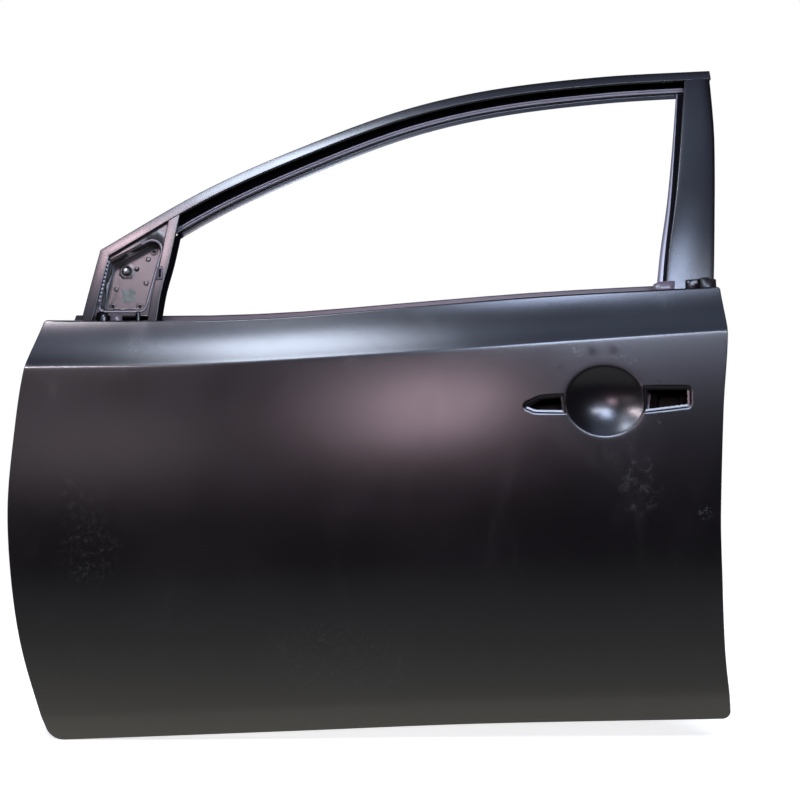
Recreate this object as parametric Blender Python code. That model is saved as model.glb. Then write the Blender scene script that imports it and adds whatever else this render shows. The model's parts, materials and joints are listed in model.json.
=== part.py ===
"""Front left car door shell: a bare pressed steel door with its window frame.

The model is drawn on the door's own grid, in metres. X runs rearwards from the hinge
face, Z runs up, and depth (Y) runs inwards from the widest point of the outer panel.
One empty, the hinge datum, carries every piece and puts the middle of the upper hinge
face at the world's origin.
"""
import math

import bmesh
import bpy
from mathutils import Matrix, Vector
from mathutils.geometry import delaunay_2d_cdt

# Door datum: the middle of the upper hinge face on the door's grid
HINGE_DEPTH = 0.082
UPPER_HINGE_Z = 0.380

# Sheet gauges and the running gap between pieces that touch
SKIN_GAUGE = 0.0008
INNER_GAUGE = 0.0009
SASH_GAUGE = 0.0010
BRACKET_GAUGE = 0.0016
HINGE_PLATE_GAUGE = 0.0025
GAP = 0.0003

# Outline of the outer panel: edge curves as (level, place) knots
FRONT_EDGE = ((-0.140, 0.006), (-0.030, -0.022), (0.070, -0.036), (0.190, -0.042),
              (0.300, -0.034), (0.416, -0.019), (0.495, 0.006))
REAR_EDGE = ((-0.140, 1.094), (-0.030, 1.079), (0.110, 1.071), (0.190, 1.069),
             (0.350, 1.074), (0.471, 1.083), (0.545, 1.078))
BOTTOM_EDGE = ((0.020, -0.181), (0.400, -0.162), (0.700, -0.148), (1.094, -0.139))
BELT_LINE = ((0.000, 0.4900), (0.250, 0.4890), (0.400, 0.4945), (0.570, 0.5080),
             (0.810, 0.5270), (1.080, 0.5410))
CREASE_LINE = ((-0.020, 0.4150), (0.250, 0.4185), (0.570, 0.4360), (0.820, 0.4530),
               (1.083, 0.4710))
FRONT_FOOT = (0.018, -0.181)
REAR_FOOT = (1.094, -0.139)
FRONT_FOOT_RADIUS = 0.030
REAR_FOOT_RADIUS = 0.012
TOP_CORNER_RADIUS = 0.008

# Form of the outer panel
PLAN_DROP = 0.036
BARREL = 0.080
WIDEST_AT = 0.42
SHOULDER_LEAN = 0.65
SHOULDER_SCOOP = 2.78
SILL_AT = 0.93
SILL_TUCK = 0.27
HEM_RADIUS = 0.0017
HEM_LIP = 0.010
BELT_BEND = 0.003
BELT_FLANGE = 0.009

# Door handle seat
BOWL_X = 0.891
BOWL_Z = 0.360
BOWL_LENGTH = 0.122
BOWL_HEIGHT = 0.108
BOWL_DEPTH = 0.018
SEAT_LAND = 0.0020
SEAT_DEPTH = 0.0035
SEAT_WALL = 0.0022
SEAT_LEDGE = 0.0035
FRONT_SEAT_REACH = 0.066
FRONT_SEAT_TOP = 0.0135
FRONT_SEAT_BOTTOM = 0.0215
REAR_SEAT_REACH = 0.074
REAR_SEAT_TOP = 0.0250
REAR_SEAT_BOTTOM = 0.0205
REAR_SEAT_TAPER = 0.0095
HANDLE_PLATE_MARGIN = 0.014
LEG_BRACKET_FOOT = 0.434
LEG_BRACKET_TOP = 0.470

# Inner panel
INNER_DEPTH = 0.124
INNER_PLAN_SHARE = 0.6
LATCH_FACE_X = 1.052
WALL_RISE = 0.018
FRONT_FLANGE = 0.0152
FOOT_RADIUS = 0.060
REAR_WALL_RADIUS = 0.040
BEND = 0.003
SEAL_STEP = 0.018
SEAL_LEDGE = 0.008
INNER_TOP = 0.012
WALL_TOP_DROP = 0.014
HEM_CLEAR = 0.0006
FLANGE_CLEAR = 0.0004

# Window frame
FRAME_STEP = 0.014
FRAME_LEAN = 0.20
FRAME_CURVE = 0.40
HEADER_LINE = ((0.085, 0.607), (0.252, 0.709), (0.406, 0.782), (0.574, 0.848),
               (0.724, 0.885), (0.912, 0.908), (1.096, 0.918))
HEADER_FACE = 0.0175
HEADER_RETURN = 0.024
LEG_RAKE = 0.209
LEG_FOOT = 0.360
LIP = 0.005
CHANNEL_DEPTH = 0.0205
CHANNEL_BASE = 0.004
HEADER_INNER_REACH = 0.048
PILLAR_OUTER = ((0.520, 1.0705), (0.651, 1.080), (0.737, 1.087), (0.807, 1.092), (0.914, 1.095))
PILLAR_INNER = ((0.520, 0.994), (0.602, 1.005), (0.685, 1.020), (0.790, 1.036), (0.900, 1.052))
PILLAR_RETURN = 0.020
PILLAR_CROWN = 0.0025
PILLAR_COVER_DROP = 0.011
REAR_RUN_REACH = 0.012
REAR_RUN_FOOT = 0.140
DIVISION_LINE = ((0.494, 0.182), (0.539, 0.187), (0.586, 0.198), (0.662, 0.212))
DIVISION_FACE = 0.0190
DIVISION_RETURN = 0.016
DIVISION_RUN_REACH = 0.0050
DIVISION_FOOT = 0.160
RUN_CATCH = 0.008

# Mirror mounting
MIRROR_TUCK = 0.003
MIRROR_CORNERS = ((0.103, 0.591, 0.008), (0.0915, 0.5125, 0.008),
                  (0.1610, 0.5095, 0.010), (0.1795, 0.6270, 0.016))
MIRROR_WALL_DEPTH = 0.024
MIRROR_RIM = 0.0025
MIRROR_PLATE_MARGIN = 0.006
MIRROR_NUTS = ((0.104, 0.520), (0.149, 0.520), (0.168, 0.612))
MIRROR_STUD = (0.124, 0.579)
MIRROR_PIN = (0.141, 0.583)
MIRROR_HOLE_RADIUS = 0.0033
MIRROR_STUD_RADIUS = 0.0034
MIRROR_FOOT_RISE = 0.009

# Belt reinforcements
BELT_BOX_HEIGHT = 0.040
OUTER_BELT_DEPTH = 0.008
INNER_BELT_DEPTH = 0.018
BELT_FLANGE_WIDTH = 0.008

# Side impact beam
BEAM_RADIUS = 0.014
BEAM_WALL = 0.0025
BEAM_FRONT_Z = 0.125
BEAM_REAR_Z = 0.085
BEAM_STAND_OFF = 0.024
COLLAR_LENGTH = 0.030
COLLAR_PLATE_WIDTH = 0.040
COLLAR_PLATE_HEIGHT = 0.070

# Hinge, check and latch fixings
LOWER_HINGE_Z = 0.035
HINGE_BOLT_PITCH = 0.040
HINGE_HOLE_RADIUS = 0.0055
HINGE_PLATE_HEIGHT = 0.090
HINGE_PLATE_FLANGE = 0.026
CHECK_Z = 0.205
CHECK_WIDTH = 0.030
CHECK_HEIGHT = 0.036
CHECK_BOLT_PITCH = 0.056
CHECK_HOLE_RADIUS = 0.0040
BEAM_CLEAR_DEPTH = 0.062
LATCH_Z = 0.330
LATCH_DEPTH = 0.058
LATCH_MOUTH = 0.036
LATCH_HEIGHT = 0.046
LATCH_BOLT_PITCH = 0.074
LATCH_HOLE_RADIUS = 0.0040
LATCH_PLATE_HEIGHT = 0.110
LATCH_PLATE_FLANGE = 0.024
LATCH_PLATE_OUTER = 0.032
LATCH_PLATE_INNER = 0.042
CHECK_PLATE_FLANGE = 0.016
CHECK_PLATE_MARGIN = 0.012
HINGE_NUT_FLATS = 0.018
HINGE_NUT_HEIGHT = 0.009
CHECK_NUT_FLATS = 0.013
CHECK_NUT_HEIGHT = 0.0065
MIRROR_NUT_FLATS = 0.010
MIRROR_NUT_HEIGHT = 0.005

# Service openings of the inner panel, as (x, z, corner radius) corners
SERVICE_HOLE = ((0.455, 0.400, 0.045), (0.415, 0.130, 0.060), (0.620, -0.030, 0.060),
                (0.880, 0.000, 0.070), (0.905, 0.292, 0.030), (0.762, 0.300, 0.030),
                (0.737, 0.418, 0.040))
FRONT_HOLE = ((0.135, 0.400, 0.030), (0.125, 0.230, 0.035), (0.330, 0.215, 0.040),
              (0.360, 0.405, 0.035))
SPEAKER_X = 0.225
SPEAKER_Z = 0.050
SPEAKER_RADIUS = 0.083
CLIP_HOLE_RADIUS = 0.0045
CLIP_HOLES = ((0.060, 0.440), (0.060, 0.300), (0.060, 0.120), (0.075, -0.060),
              (0.330, -0.100), (0.540, -0.085), (0.760, -0.080), (0.960, -0.040),
              (1.000, 0.120), (1.000, 0.260), (1.000, 0.400), (0.390, 0.300))


def smooth(knots, at):
    """Height at one place of the smooth curve through (place, height) knots."""
    last = len(knots) - 1
    slopes = []
    for i in range(last + 1):
        low = knots[max(i - 1, 0)]
        high = knots[min(i + 1, last)]
        slopes.append((high[1] - low[1]) / (high[0] - low[0]))
    if at <= knots[0][0]:
        return knots[0][1] + slopes[0] * (at - knots[0][0])
    if at >= knots[last][0]:
        return knots[last][1] + slopes[last] * (at - knots[last][0])
    i = max(k for k in range(last) if knots[k][0] <= at)
    span = knots[i + 1][0] - knots[i][0]
    t = (at - knots[i][0]) / span
    return (knots[i][1] * (1 + 2 * t) * (1 - t) ** 2 + slopes[i] * span * t * (1 - t) ** 2
            + knots[i + 1][1] * t * t * (3 - 2 * t) + slopes[i + 1] * span * t * t * (t - 1))


def spread(start, end, count):
    """Evenly spaced values from start to end, both included."""
    return [start + (end - start) * i / (count - 1) for i in range(count)]


def front_x(z):
    return smooth(FRONT_EDGE, z)


def rear_x(z):
    return smooth(REAR_EDGE, z)


def bottom_z(x):
    return smooth(BOTTOM_EDGE, x)


def belt_z(x):
    return smooth(BELT_LINE, x)


def crease_z(x):
    return smooth(CREASE_LINE, x)


def plan(x):
    """Depth that the door gains towards its leading edge."""
    front = min(place for level, place in FRONT_EDGE)
    rear = max(place for level, place in REAR_EDGE)
    return PLAN_DROP * ((rear - x) / (rear - front)) ** 2


def shoulder(rise):
    """Depth of the scooped shoulder at a height above the crease."""
    return BARREL * WIDEST_AT ** 2 + SHOULDER_LEAN * rise - SHOULDER_SCOOP * rise ** 2


def skin_depth(x, z):
    """Depth of the outer panel's outer face, without the handle seat."""
    crease = crease_z(x)
    if z >= crease:
        return plan(x) + shoulder(z - crease)
    height = crease - bottom_z(x)
    fall = (crease - z) / height
    depth = BARREL * (fall - WIDEST_AT) ** 2
    if fall > SILL_AT:
        depth += SILL_TUCK * (fall - SILL_AT) * height
    return plan(x) + depth


def inner_depth(x, z):
    """Depth of the inner panel's main face, on its side towards the outer panel."""
    return INNER_DEPTH + INNER_PLAN_SHARE * plan(x)


def frame_depth(x, z):
    """Depth of the window frame's outer face, which runs on down inside the door."""
    belt = belt_z(x)
    rise = z - belt
    at_belt = plan(x) + shoulder(belt - crease_z(x)) + FRAME_STEP
    return at_belt + FRAME_LEAN * rise + FRAME_CURVE * rise ** 2


def facing(surface, x, z):
    """Unit normal of a depth surface, pointing into the door."""
    step = 0.0005
    along = (surface(x + step, z) - surface(x - step, z)) / (2 * step)
    up = (surface(x, z + step) - surface(x, z - step)) / (2 * step)
    return Vector((-along, 1.0, -up)).normalized()


def on(surface, x, z, inwards=0.0):
    """Point at (x, z) of a depth surface, moved inwards along its normal."""
    return Vector((x, surface(x, z), z)) + facing(surface, x, z) * inwards


def behind(surface, x, z, inwards):
    """Depth at (x, z) of a surface moved inwards along its normal."""
    return surface(x, z) + inwards / facing(surface, x, z).y


def arc(centre, radius, start, end, steps):
    """Points of a flat arc from one angle to another, in radians."""
    return [(centre[0] + radius * math.cos(a), centre[1] + radius * math.sin(a))
            for a in spread(start, end, steps + 1)]


def circle(x, z, radius, sides=16):
    return arc((x, z), radius, 0.0, 2 * math.pi, sides)[:-1]


def rounded(corners, steps=3):
    """Outline through (x, z, radius, kind) corners with each corner turned as an arc."""
    outline = []
    count = len(corners)
    for i, corner in enumerate(corners):
        here = Vector(corner[:2])
        back = Vector(corners[i - 1][:2]) - here
        ahead = Vector(corners[(i + 1) % count][:2]) - here
        kind = corner[3] if len(corner) > 3 else ""
        radius = corner[2] if len(corner) > 2 else 0.0
        if radius <= 0.0:
            outline.append((here.x, here.y, kind))
            continue
        half = back.angle(ahead) / 2
        reach = min(radius / math.tan(half), 0.48 * back.length, 0.48 * ahead.length)
        radius = reach * math.tan(half)
        centre = here + (back.normalized() + ahead.normalized()).normalized() * radius / math.sin(half)
        first = here + back.normalized() * reach - centre
        last = here + ahead.normalized() * reach - centre
        turn = first.angle_signed(last)
        for k in range(steps + 1):
            spoke = first.copy()
            spoke.rotate(turned(-turn * k / steps))
            outline.append((centre.x + spoke.x, centre.y + spoke.y, kind))
    return outline


def turned(angle):
    """Flat rotation by an angle."""
    return Matrix.Rotation(angle, 2)


def inset(outline, distance):
    """Counter-clockwise outline moved inwards, by one distance or one for each point."""
    count = len(outline)
    moved = []
    for i, point in enumerate(outline):
        here = Vector(point[:2])
        before = (here - Vector(outline[i - 1][:2])).normalized()
        after = (Vector(outline[(i + 1) % count][:2]) - here).normalized()
        left_before = Vector((-before.y, before.x))
        left_after = Vector((-after.y, after.x))
        split = (left_before + left_after).normalized()
        stretch = 1 / max(split.dot(left_before), 0.5)
        step = distance[i] if isinstance(distance, list) else distance
        moved.append(tuple(here + split * stretch * step))
    return moved


def inside(outline, x, z):
    """Whether a flat point lies inside a closed outline."""
    hit = False
    for i, there in enumerate(outline):
        here = outline[i - 1]
        if (here[1] > z) != (there[1] > z):
            cross = here[0] + (z - here[1]) / (there[1] - here[1]) * (there[0] - here[0])
            hit = hit != (x < cross)
    return hit


def lift(surface, outline, inwards=0.0):
    return [on(surface, p[0], p[1], inwards) for p in outline]


class Patch:
    """A flat drawing of a pressing: lines and spots, each with its place in space."""

    def __init__(self, place):
        self.place = place
        self.flat = []
        self.space = []
        self.edges = []

    def line(self, flat, space=None, closed=True):
        """Adds a line of the drawing, and returns the numbers of its points."""
        first = len(self.flat)
        count = len(flat)
        self.flat += [tuple(p[:2]) for p in flat]
        self.space += space or [self.place(p[0], p[1]) for p in flat]
        self.edges += [(first + i, first + (i + 1) % count) for i in range(count if closed else count - 1)]
        return list(range(first, first + count))

    def chain(self, numbers):
        """Adds edges between points that the drawing already has."""
        self.edges += list(zip(numbers[:-1], numbers[1:]))

    def spots(self, places, clearance):
        """Adds free points that keep their distance from every line."""
        lines = [self.flat[number] for edge in self.edges for number in edge]
        middles = [((self.flat[a][0] + self.flat[b][0]) / 2, (self.flat[a][1] + self.flat[b][1]) / 2)
                   for a, b in self.edges]
        fixed = set(lines + middles)
        for x, z in places:
            if all(abs(x - p[0]) > clearance or abs(z - p[1]) > clearance for p in fixed):
                self.flat.append((x, z))
                self.space.append(self.place(x, z))

    def sheet(self, outer, holes=()):
        """Triangles inside the outer line and outside the holes, with the new numbers."""
        found = delaunay_2d_cdt([Vector(p) for p in self.flat], self.edges, [], 0, 1e-7)
        flat, faces, origins = found[0], found[2], found[3]
        points = [self.space[o[0]] if o else self.place(p[0], p[1]) for p, o in zip(flat, origins)]
        number = {old: new for new, group in enumerate(origins) for old in group}
        bounds = [[self.flat[n] for n in outer]] + [[self.flat[n] for n in hole] for hole in holes]
        kept = []
        for face in faces:
            x = sum(flat[n][0] for n in face) / len(face)
            z = sum(flat[n][1] for n in face) / len(face)
            if inside(bounds[0], x, z) and not any(inside(b, x, z) for b in bounds[1:]):
                kept.append(tuple(face))
        return points, kept, number


def material(name, colour, metallic, roughness):
    """Principled material of one finish."""
    made = bpy.data.materials.get(name) or bpy.data.materials.new(name)
    made.use_nodes = True
    shader = made.node_tree.nodes["Principled BSDF"]
    shader.inputs["Base Color"].default_value = (*colour, 1.0)
    shader.inputs["Metallic"].default_value = metallic
    shader.inputs["Roughness"].default_value = roughness
    return made


def black_primer():
    return material("black_primer", (0.022, 0.021, 0.022), 0.0, 0.34)


def plated_steel():
    return material("plated_steel", (0.42, 0.41, 0.38), 0.9, 0.38)


def make(name, points, faces, finish):
    """Mesh object on the hinge datum, with only the points that its faces use."""
    used = sorted({n for face in faces for n in face})
    place = {old: new for new, old in enumerate(used)}
    mesh = bpy.data.meshes.new(name)
    mesh.from_pydata([points[n] for n in used], [], [[place[n] for n in face] for face in faces])
    mesh.materials.append(finish)
    made = bpy.data.objects.new(name, mesh)
    bpy.context.scene.collection.objects.link(made)
    made.parent = bpy.data.objects["hinge_datum"]
    return made


def smooth_shading(piece, angle=35):
    piece.data.shade_smooth()
    piece.data.set_sharp_from_angle(angle=math.radians(angle))


def thicken(piece, gauge):
    """Gives a sheet its gauge, away from the side that its faces point to."""
    wall = piece.modifiers.new("gauge", "SOLIDIFY")
    wall.thickness = gauge
    wall.offset = -1.0
    wall.use_even_offset = True
    wall.use_quality_normals = True
    smooth_shading(piece)
    return piece


def rows_sheet(name, rows, gauge, finish, closed=False):
    """Sheet through equal rows of points, thickened away from section x path."""
    width = len(rows[0])
    points = [point for row in rows for point in row]
    count = len(rows)
    faces = []
    for i in range(count if closed else count - 1):
        for j in range(width - 1):
            here = i * width + j
            there = ((i + 1) % count) * width + j
            faces.append((here, here + 1, there + 1, there))
    return thicken(make(name, points, faces, finish), gauge)


def sweep_rows(path, profile, surface):
    """Rows of a profile of (across, inwards) points along a path on a surface.

    Across points to the window side, which lies to the right of the path as seen from
    outside.
    """
    spine = [on(surface, x, z) for x, z in path]
    normals = [facing(surface, x, z) for x, z in path]
    rows = []
    for i, centre in enumerate(spine):
        before = (centre - spine[max(i - 1, 0)]) if i else (spine[1] - centre)
        after = (spine[i + 1] - centre) if i < len(spine) - 1 else before
        side_before = normals[i].cross(before).normalized()
        side_after = normals[i].cross(after).normalized()
        side = (side_before + side_after).normalized()
        stretch = 1 / side.dot(side_before)
        section = profile(i) if callable(profile) else profile
        rows.append([centre + side * stretch * u + normals[i] * n for u, n in section])
    return rows


def cut_back(rows, end, beyond, profile, across):
    """Slides the end row's points towards the next row, to stay clear under the header."""
    for j, point in enumerate(rows[end]):
        low, high = rows[beyond][j], point
        for _ in range(24):
            middle = (low + high) / 2
            if middle.z > header_level(middle.x, across, profile[j][1]) - 4 * GAP:
                high = middle
            else:
                low = middle
        rows[end][j] = low
    return rows


def prism_mesh(outlines, low, high, lay):
    """Points and faces of closed prisms, each outline lifted between two levels."""
    points = []
    faces = []
    for outline in outlines:
        first = len(points)
        count = len(outline)
        points += [lay(p, low) for p in outline] + [lay(p, high) for p in outline]
        faces.append(tuple(range(first + count - 1, first - 1, -1)))
        faces.append(tuple(range(first + count, first + 2 * count)))
        for i in range(count):
            after = (i + 1) % count
            faces.append((first + i, first + after, first + count + after, first + count + i))
    return points, faces


def point_out(piece):
    """Turns every face of a closed mesh to point outwards."""
    shape = bmesh.new()
    shape.from_mesh(piece.data)
    bmesh.ops.recalc_face_normals(shape, faces=shape.faces)
    shape.to_mesh(piece.data)
    shape.free()


def across_x(p, level):
    """Outline drawn as (depth, z), lifted along X."""
    return Vector((level, p[0], p[1]))


def across_y(p, level):
    """Outline drawn as (x, z), lifted along depth."""
    return Vector((p[0], level, p[1]))


def cut(piece, outlines, low, high, lay):
    """Cuts prisms out of a piece."""
    points, faces = prism_mesh(outlines, low, high, lay)
    cutter = make(piece.name + "_cutter", points, faces, piece.data.materials[0])
    point_out(cutter)
    cutter.hide_render = True
    cutter.display_type = "WIRE"
    hole = piece.modifiers.new("holes", "BOOLEAN")
    hole.operation = "DIFFERENCE"
    hole.solver = "EXACT"
    hole.object = cutter


def skin_edge():
    """Outline of the outer panel, counter-clockwise from its front top corner."""
    top_front, top_rear = belt_z(0.0), belt_z(REAR_EDGE[-1][1])
    crease_front, crease_rear = crease_z(front_x(CREASE_LINE[0][1])), crease_z(rear_x(CREASE_LINE[-1][1]))
    sill_front = crease_front - SILL_AT * (crease_front - bottom_z(FRONT_FOOT[0]))
    sill_rear = crease_rear - SILL_AT * (crease_rear - bottom_z(REAR_FOOT[0]))
    corners = [(front_x(top_front), top_front, TOP_CORNER_RADIUS, "corner")]
    levels = spread(top_front - 0.012, crease_front, 6) + spread(crease_front, sill_front, 13)[1:]
    corners += [(front_x(z), z, 0.0, "hem") for z in levels]
    corners.append((FRONT_FOOT[0], FRONT_FOOT[1], FRONT_FOOT_RADIUS, "hem"))
    corners += [(x, bottom_z(x), 0.0, "hem") for x in spread(FRONT_FOOT[0] + 0.05, REAR_FOOT[0] - 0.05, 16)]
    corners.append((REAR_FOOT[0], REAR_FOOT[1], REAR_FOOT_RADIUS, "hem"))
    levels = spread(sill_rear, crease_rear, 13) + spread(crease_rear, top_rear - 0.012, 6)[1:]
    corners += [(rear_x(z), z, 0.0, "hem") for z in levels]
    corners.append((rear_x(top_rear), top_rear, TOP_CORNER_RADIUS, "corner"))
    corners += [(x, belt_z(x), 0.0, "belt")
                for x in spread(rear_x(top_rear) - 0.02, front_x(top_front) + 0.02, 20)]
    return rounded(corners)


def bowl_ring(scale, sides=36):
    """Flat outline of the handle bowl, or of a ring inside it."""
    return [(BOWL_X + scale * BOWL_LENGTH / 2 * math.cos(a), BOWL_Z + scale * BOWL_HEIGHT / 2 * math.sin(a))
            for a in spread(0.0, 2 * math.pi, sides + 1)[:-1]]


def bowl_side(rise):
    """Half length of the handle bowl at a height above its middle."""
    return BOWL_LENGTH / 2 * math.sqrt(max(1 - (2 * rise / BOWL_HEIGHT) ** 2, 0.0))


def front_seat():
    """Pointed recess for the front end of the door handle."""
    near_top = BOWL_X - bowl_side(FRONT_SEAT_TOP) - SEAT_LAND
    near_bottom = BOWL_X - bowl_side(FRONT_SEAT_BOTTOM) - SEAT_LAND
    tip = BOWL_X - BOWL_LENGTH / 2 - FRONT_SEAT_REACH
    drop = BOWL_Z - FRONT_SEAT_BOTTOM
    return [(near_top, BOWL_Z + FRONT_SEAT_TOP, 0.002),
            ((near_top + tip) / 2, BOWL_Z + FRONT_SEAT_TOP * 0.62, 0.060),
            (tip, BOWL_Z - FRONT_SEAT_BOTTOM * 0.45, 0.006),
            (tip + 0.022, drop + 0.002, 0.020),
            (near_bottom, drop, 0.002)]


def rear_seat():
    """Rounded recess for the rear end of the door handle."""
    near = BOWL_X + BOWL_LENGTH / 2 + SEAT_LAND
    far = BOWL_X + BOWL_LENGTH / 2 + REAR_SEAT_REACH
    return [(far, BOWL_Z + REAR_SEAT_TOP, 0.009),
            (near, BOWL_Z + REAR_SEAT_TOP, 0.002),
            (near, BOWL_Z - REAR_SEAT_BOTTOM, 0.002),
            (far, BOWL_Z - REAR_SEAT_BOTTOM + REAR_SEAT_TAPER, 0.009)]


def stepped(outline, spacing=0.025):
    """Closed outline with its long sides divided into short steps."""
    divided = []
    for i, here in enumerate(outline):
        there = outline[(i + 1) % len(outline)]
        count = math.ceil(math.hypot(there[0] - here[0], there[1] - here[1]) / spacing)
        for k in range(max(count, 1)):
            t = k / max(count, 1)
            divided.append((here[0] + (there[0] - here[0]) * t, here[1] + (there[1] - here[1]) * t))
    return divided


def shrunk(corners, distance):
    """Rounded outline moved inwards, with its corner radii shrunk to match."""
    moved = inset(corners, distance)
    smaller = [(x, z, max(corner[2] - distance, 0.001)) for (x, z), corner in zip(moved, corners)]
    return stepped(rounded(smaller))


def rim_profile(kind):
    """Edge of the outer panel as (inset, depth) steps from its face to its free edge."""
    r = HEM_RADIUS
    side = r * (1 - math.sin(math.radians(60)))
    if kind == "hem":
        return [(r, 0.0), (side, r / 2), (side, r * 1.5), (r, 2 * r), (HEM_LIP, 2 * r)]
    if kind == "belt":
        b = BELT_BEND
        return [(b, 0.0), (b * 0.3, b * 0.3), (0.0, b), (0.0, (b + BELT_FLANGE) / 2), (0.0, BELT_FLANGE)]
    return [(r, 0.0), (side, r / 2), (0.0, r * 1.3), (0.0, r * 1.7), (0.0, r * 2.1)]


def rim_loop(edge, step):
    """One step of the rim around the outer panel, in the flat and in space."""
    profiles = [rim_profile(p[2])[step] for p in edge]
    flat = inset(edge, [p[0] for p in profiles])
    space = []
    for point, spot, profile in zip(edge, flat, profiles):
        if point[2] == "hem":
            space.append(on(skin_depth, *spot, profile[1]))
        else:
            space.append(on(skin_depth, *spot) + Vector((0.0, profile[1], 0.0)))
    return flat, space


def outer_panel():
    """Outer panel: barrel, shoulder, crease, handle seat, hemmed edges and belt flange."""
    patch = Patch(lambda x, z: on(skin_depth, x, z))
    edge = skin_edge()
    flat, space = rim_loop(edge, 0)
    outer = patch.line(flat, space)

    def side_point(level, front):
        names = [n for n in outer if (patch.flat[n][0] < 0.5) == front]
        return min(names, key=lambda n: abs(patch.flat[n][1] - level))

    for share in (0.0, SILL_AT):
        def line_z(x):
            return crease_z(x) - share * (crease_z(x) - bottom_z(x))
        start = side_point(line_z(front_x(line_z(0.0))), True)
        end = side_point(line_z(rear_x(line_z(REAR_FOOT[0]))), False)
        xs = spread(patch.flat[start][0], patch.flat[end][0], 21)[1:-1]
        middle = patch.line([(x, line_z(x)) for x in xs], closed=False)
        patch.chain([start] + middle[:1])
        patch.chain(middle[-1:] + [end])

    rings = []
    for scale in (1.0, 0.93, 0.78, 0.55, 0.28):
        ring = bowl_ring(scale, 36 if scale > 0.7 else 18)
        sunk = BOWL_DEPTH * (1 - scale ** 2)
        rings.append(patch.line(ring, [on(skin_depth, *p, sunk) for p in ring]))
    patch.flat.append((BOWL_X, BOWL_Z))
    patch.space.append(on(skin_depth, BOWL_X, BOWL_Z, BOWL_DEPTH))
    holes = []
    for seat in (front_seat(), rear_seat()):
        floor = shrunk(seat, SEAT_WALL)
        hole = shrunk(seat, SEAT_WALL + SEAT_LEDGE)
        patch.line(rounded(seat))
        patch.line(floor, lift(skin_depth, floor, SEAT_DEPTH))
        holes.append(patch.line(hole, lift(skin_depth, hole, SEAT_DEPTH)))

    seat_box = (BOWL_X - BOWL_LENGTH / 2 - FRONT_SEAT_REACH - 0.015,
                BOWL_X + BOWL_LENGTH / 2 + REAR_SEAT_REACH + 0.015)
    free = []
    for x in spread(0.0, LATCH_FACE_X, 13):
        rise = belt_z(x) - crease_z(x)
        free += [(x, crease_z(x) + rise * share) for share in (0.2, 0.42, 0.66, 0.88)]
        drop = crease_z(x) - bottom_z(x)
        free += [(x, crease_z(x) - drop * share) for share in spread(0.06, 0.86, 12)]
        free.append((x, bottom_z(x) + 0.018))
    beside = BOWL_HEIGHT / 2 + 0.012
    free = [p for p in free if not (seat_box[0] < p[0] < seat_box[1] and abs(p[1] - BOWL_Z) < beside)]
    patch.spots(free, 0.012)
    points, faces, number = patch.sheet(outer, holes)

    loops = [[number[n] for n in outer]]
    for step in range(1, 5):
        space = rim_loop(edge, step)[1]
        first = len(points)
        points += space
        loops.append(list(range(first, first + len(space))))
    for inner, beyond in zip(loops[:-1], loops[1:]):
        for i in range(len(inner)):
            after = (i + 1) % len(inner)
            faces.append((inner[after], inner[i], beyond[i], beyond[after]))
    return thicken(make("outer_panel", points, faces, black_primer()), SKIN_GAUGE)


def hinge_wall_x(z):
    """Inside of the hinge wall: flat at the hinges, and behind the flange above and below."""
    return INNER_GAUGE + max(0.0, front_x(z) + FRONT_FLANGE)


def wall_line(shift):
    """Foot of the inner panel's walls, moved inwards by a shift, from front top to rear top."""
    rear = LATCH_FACE_X - INNER_GAUGE - shift
    foot = bottom_z(FOOT_RADIUS) + WALL_RISE + FOOT_RADIUS
    front_centre = (hinge_wall_x(foot) + FOOT_RADIUS, foot)
    rear_centre = (LATCH_FACE_X - INNER_GAUGE - REAR_WALL_RADIUS,
                   bottom_z(LATCH_FACE_X - REAR_WALL_RADIUS) + WALL_RISE + REAR_WALL_RADIUS)
    crease = crease_z(0.0)
    levels = spread(belt_z(0.0) - WALL_TOP_DROP, crease, 7) + spread(crease, foot + 0.03, 10)[1:]
    line = [(hinge_wall_x(z) + shift, z) for z in levels]
    line += arc(front_centre, FOOT_RADIUS - shift, math.pi, 1.5 * math.pi, 5)
    along = spread(front_centre[0] + 0.04, rear_centre[0] - 0.04, 12)
    line += [(x, bottom_z(x) + WALL_RISE + shift) for x in along]
    line += arc(rear_centre, REAR_WALL_RADIUS - shift, 1.5 * math.pi, 2 * math.pi, 5)
    crease = crease_z(rear)
    line += [(rear, z) for z in spread(rear_centre[1] + 0.03, crease, 8)]
    line += [(rear, z) for z in spread(crease, belt_z(rear) - WALL_TOP_DROP, 6)[1:]]
    return line


def flange_edge():
    """Edge of the inner panel's flange, inside the fold of the outer panel."""
    edge = skin_edge()
    shrunk = inset(edge, HEM_RADIUS + HEM_CLEAR)
    kept = [p for p, named in zip(shrunk, edge) if named[2] == "hem"]
    front_top = belt_z(0.0) - WALL_TOP_DROP
    rear_top = belt_z(LATCH_FACE_X) - WALL_TOP_DROP
    kept = [p for p in kept if p[1] < (front_top if p[0] < 0.5 else rear_top) - 0.01]
    start = (front_x(front_top) + HEM_RADIUS + HEM_CLEAR, front_top)
    end = (rear_x(rear_top) - HEM_RADIUS - HEM_CLEAR, rear_top)
    return [start] + kept + [end]


def step_space(line, depth_from_main):
    """Wall points at a distance outboard of the inner panel's main face."""
    return [Vector((x, inner_depth(x, z) - depth_from_main, z)) for x, z in line]


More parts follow.
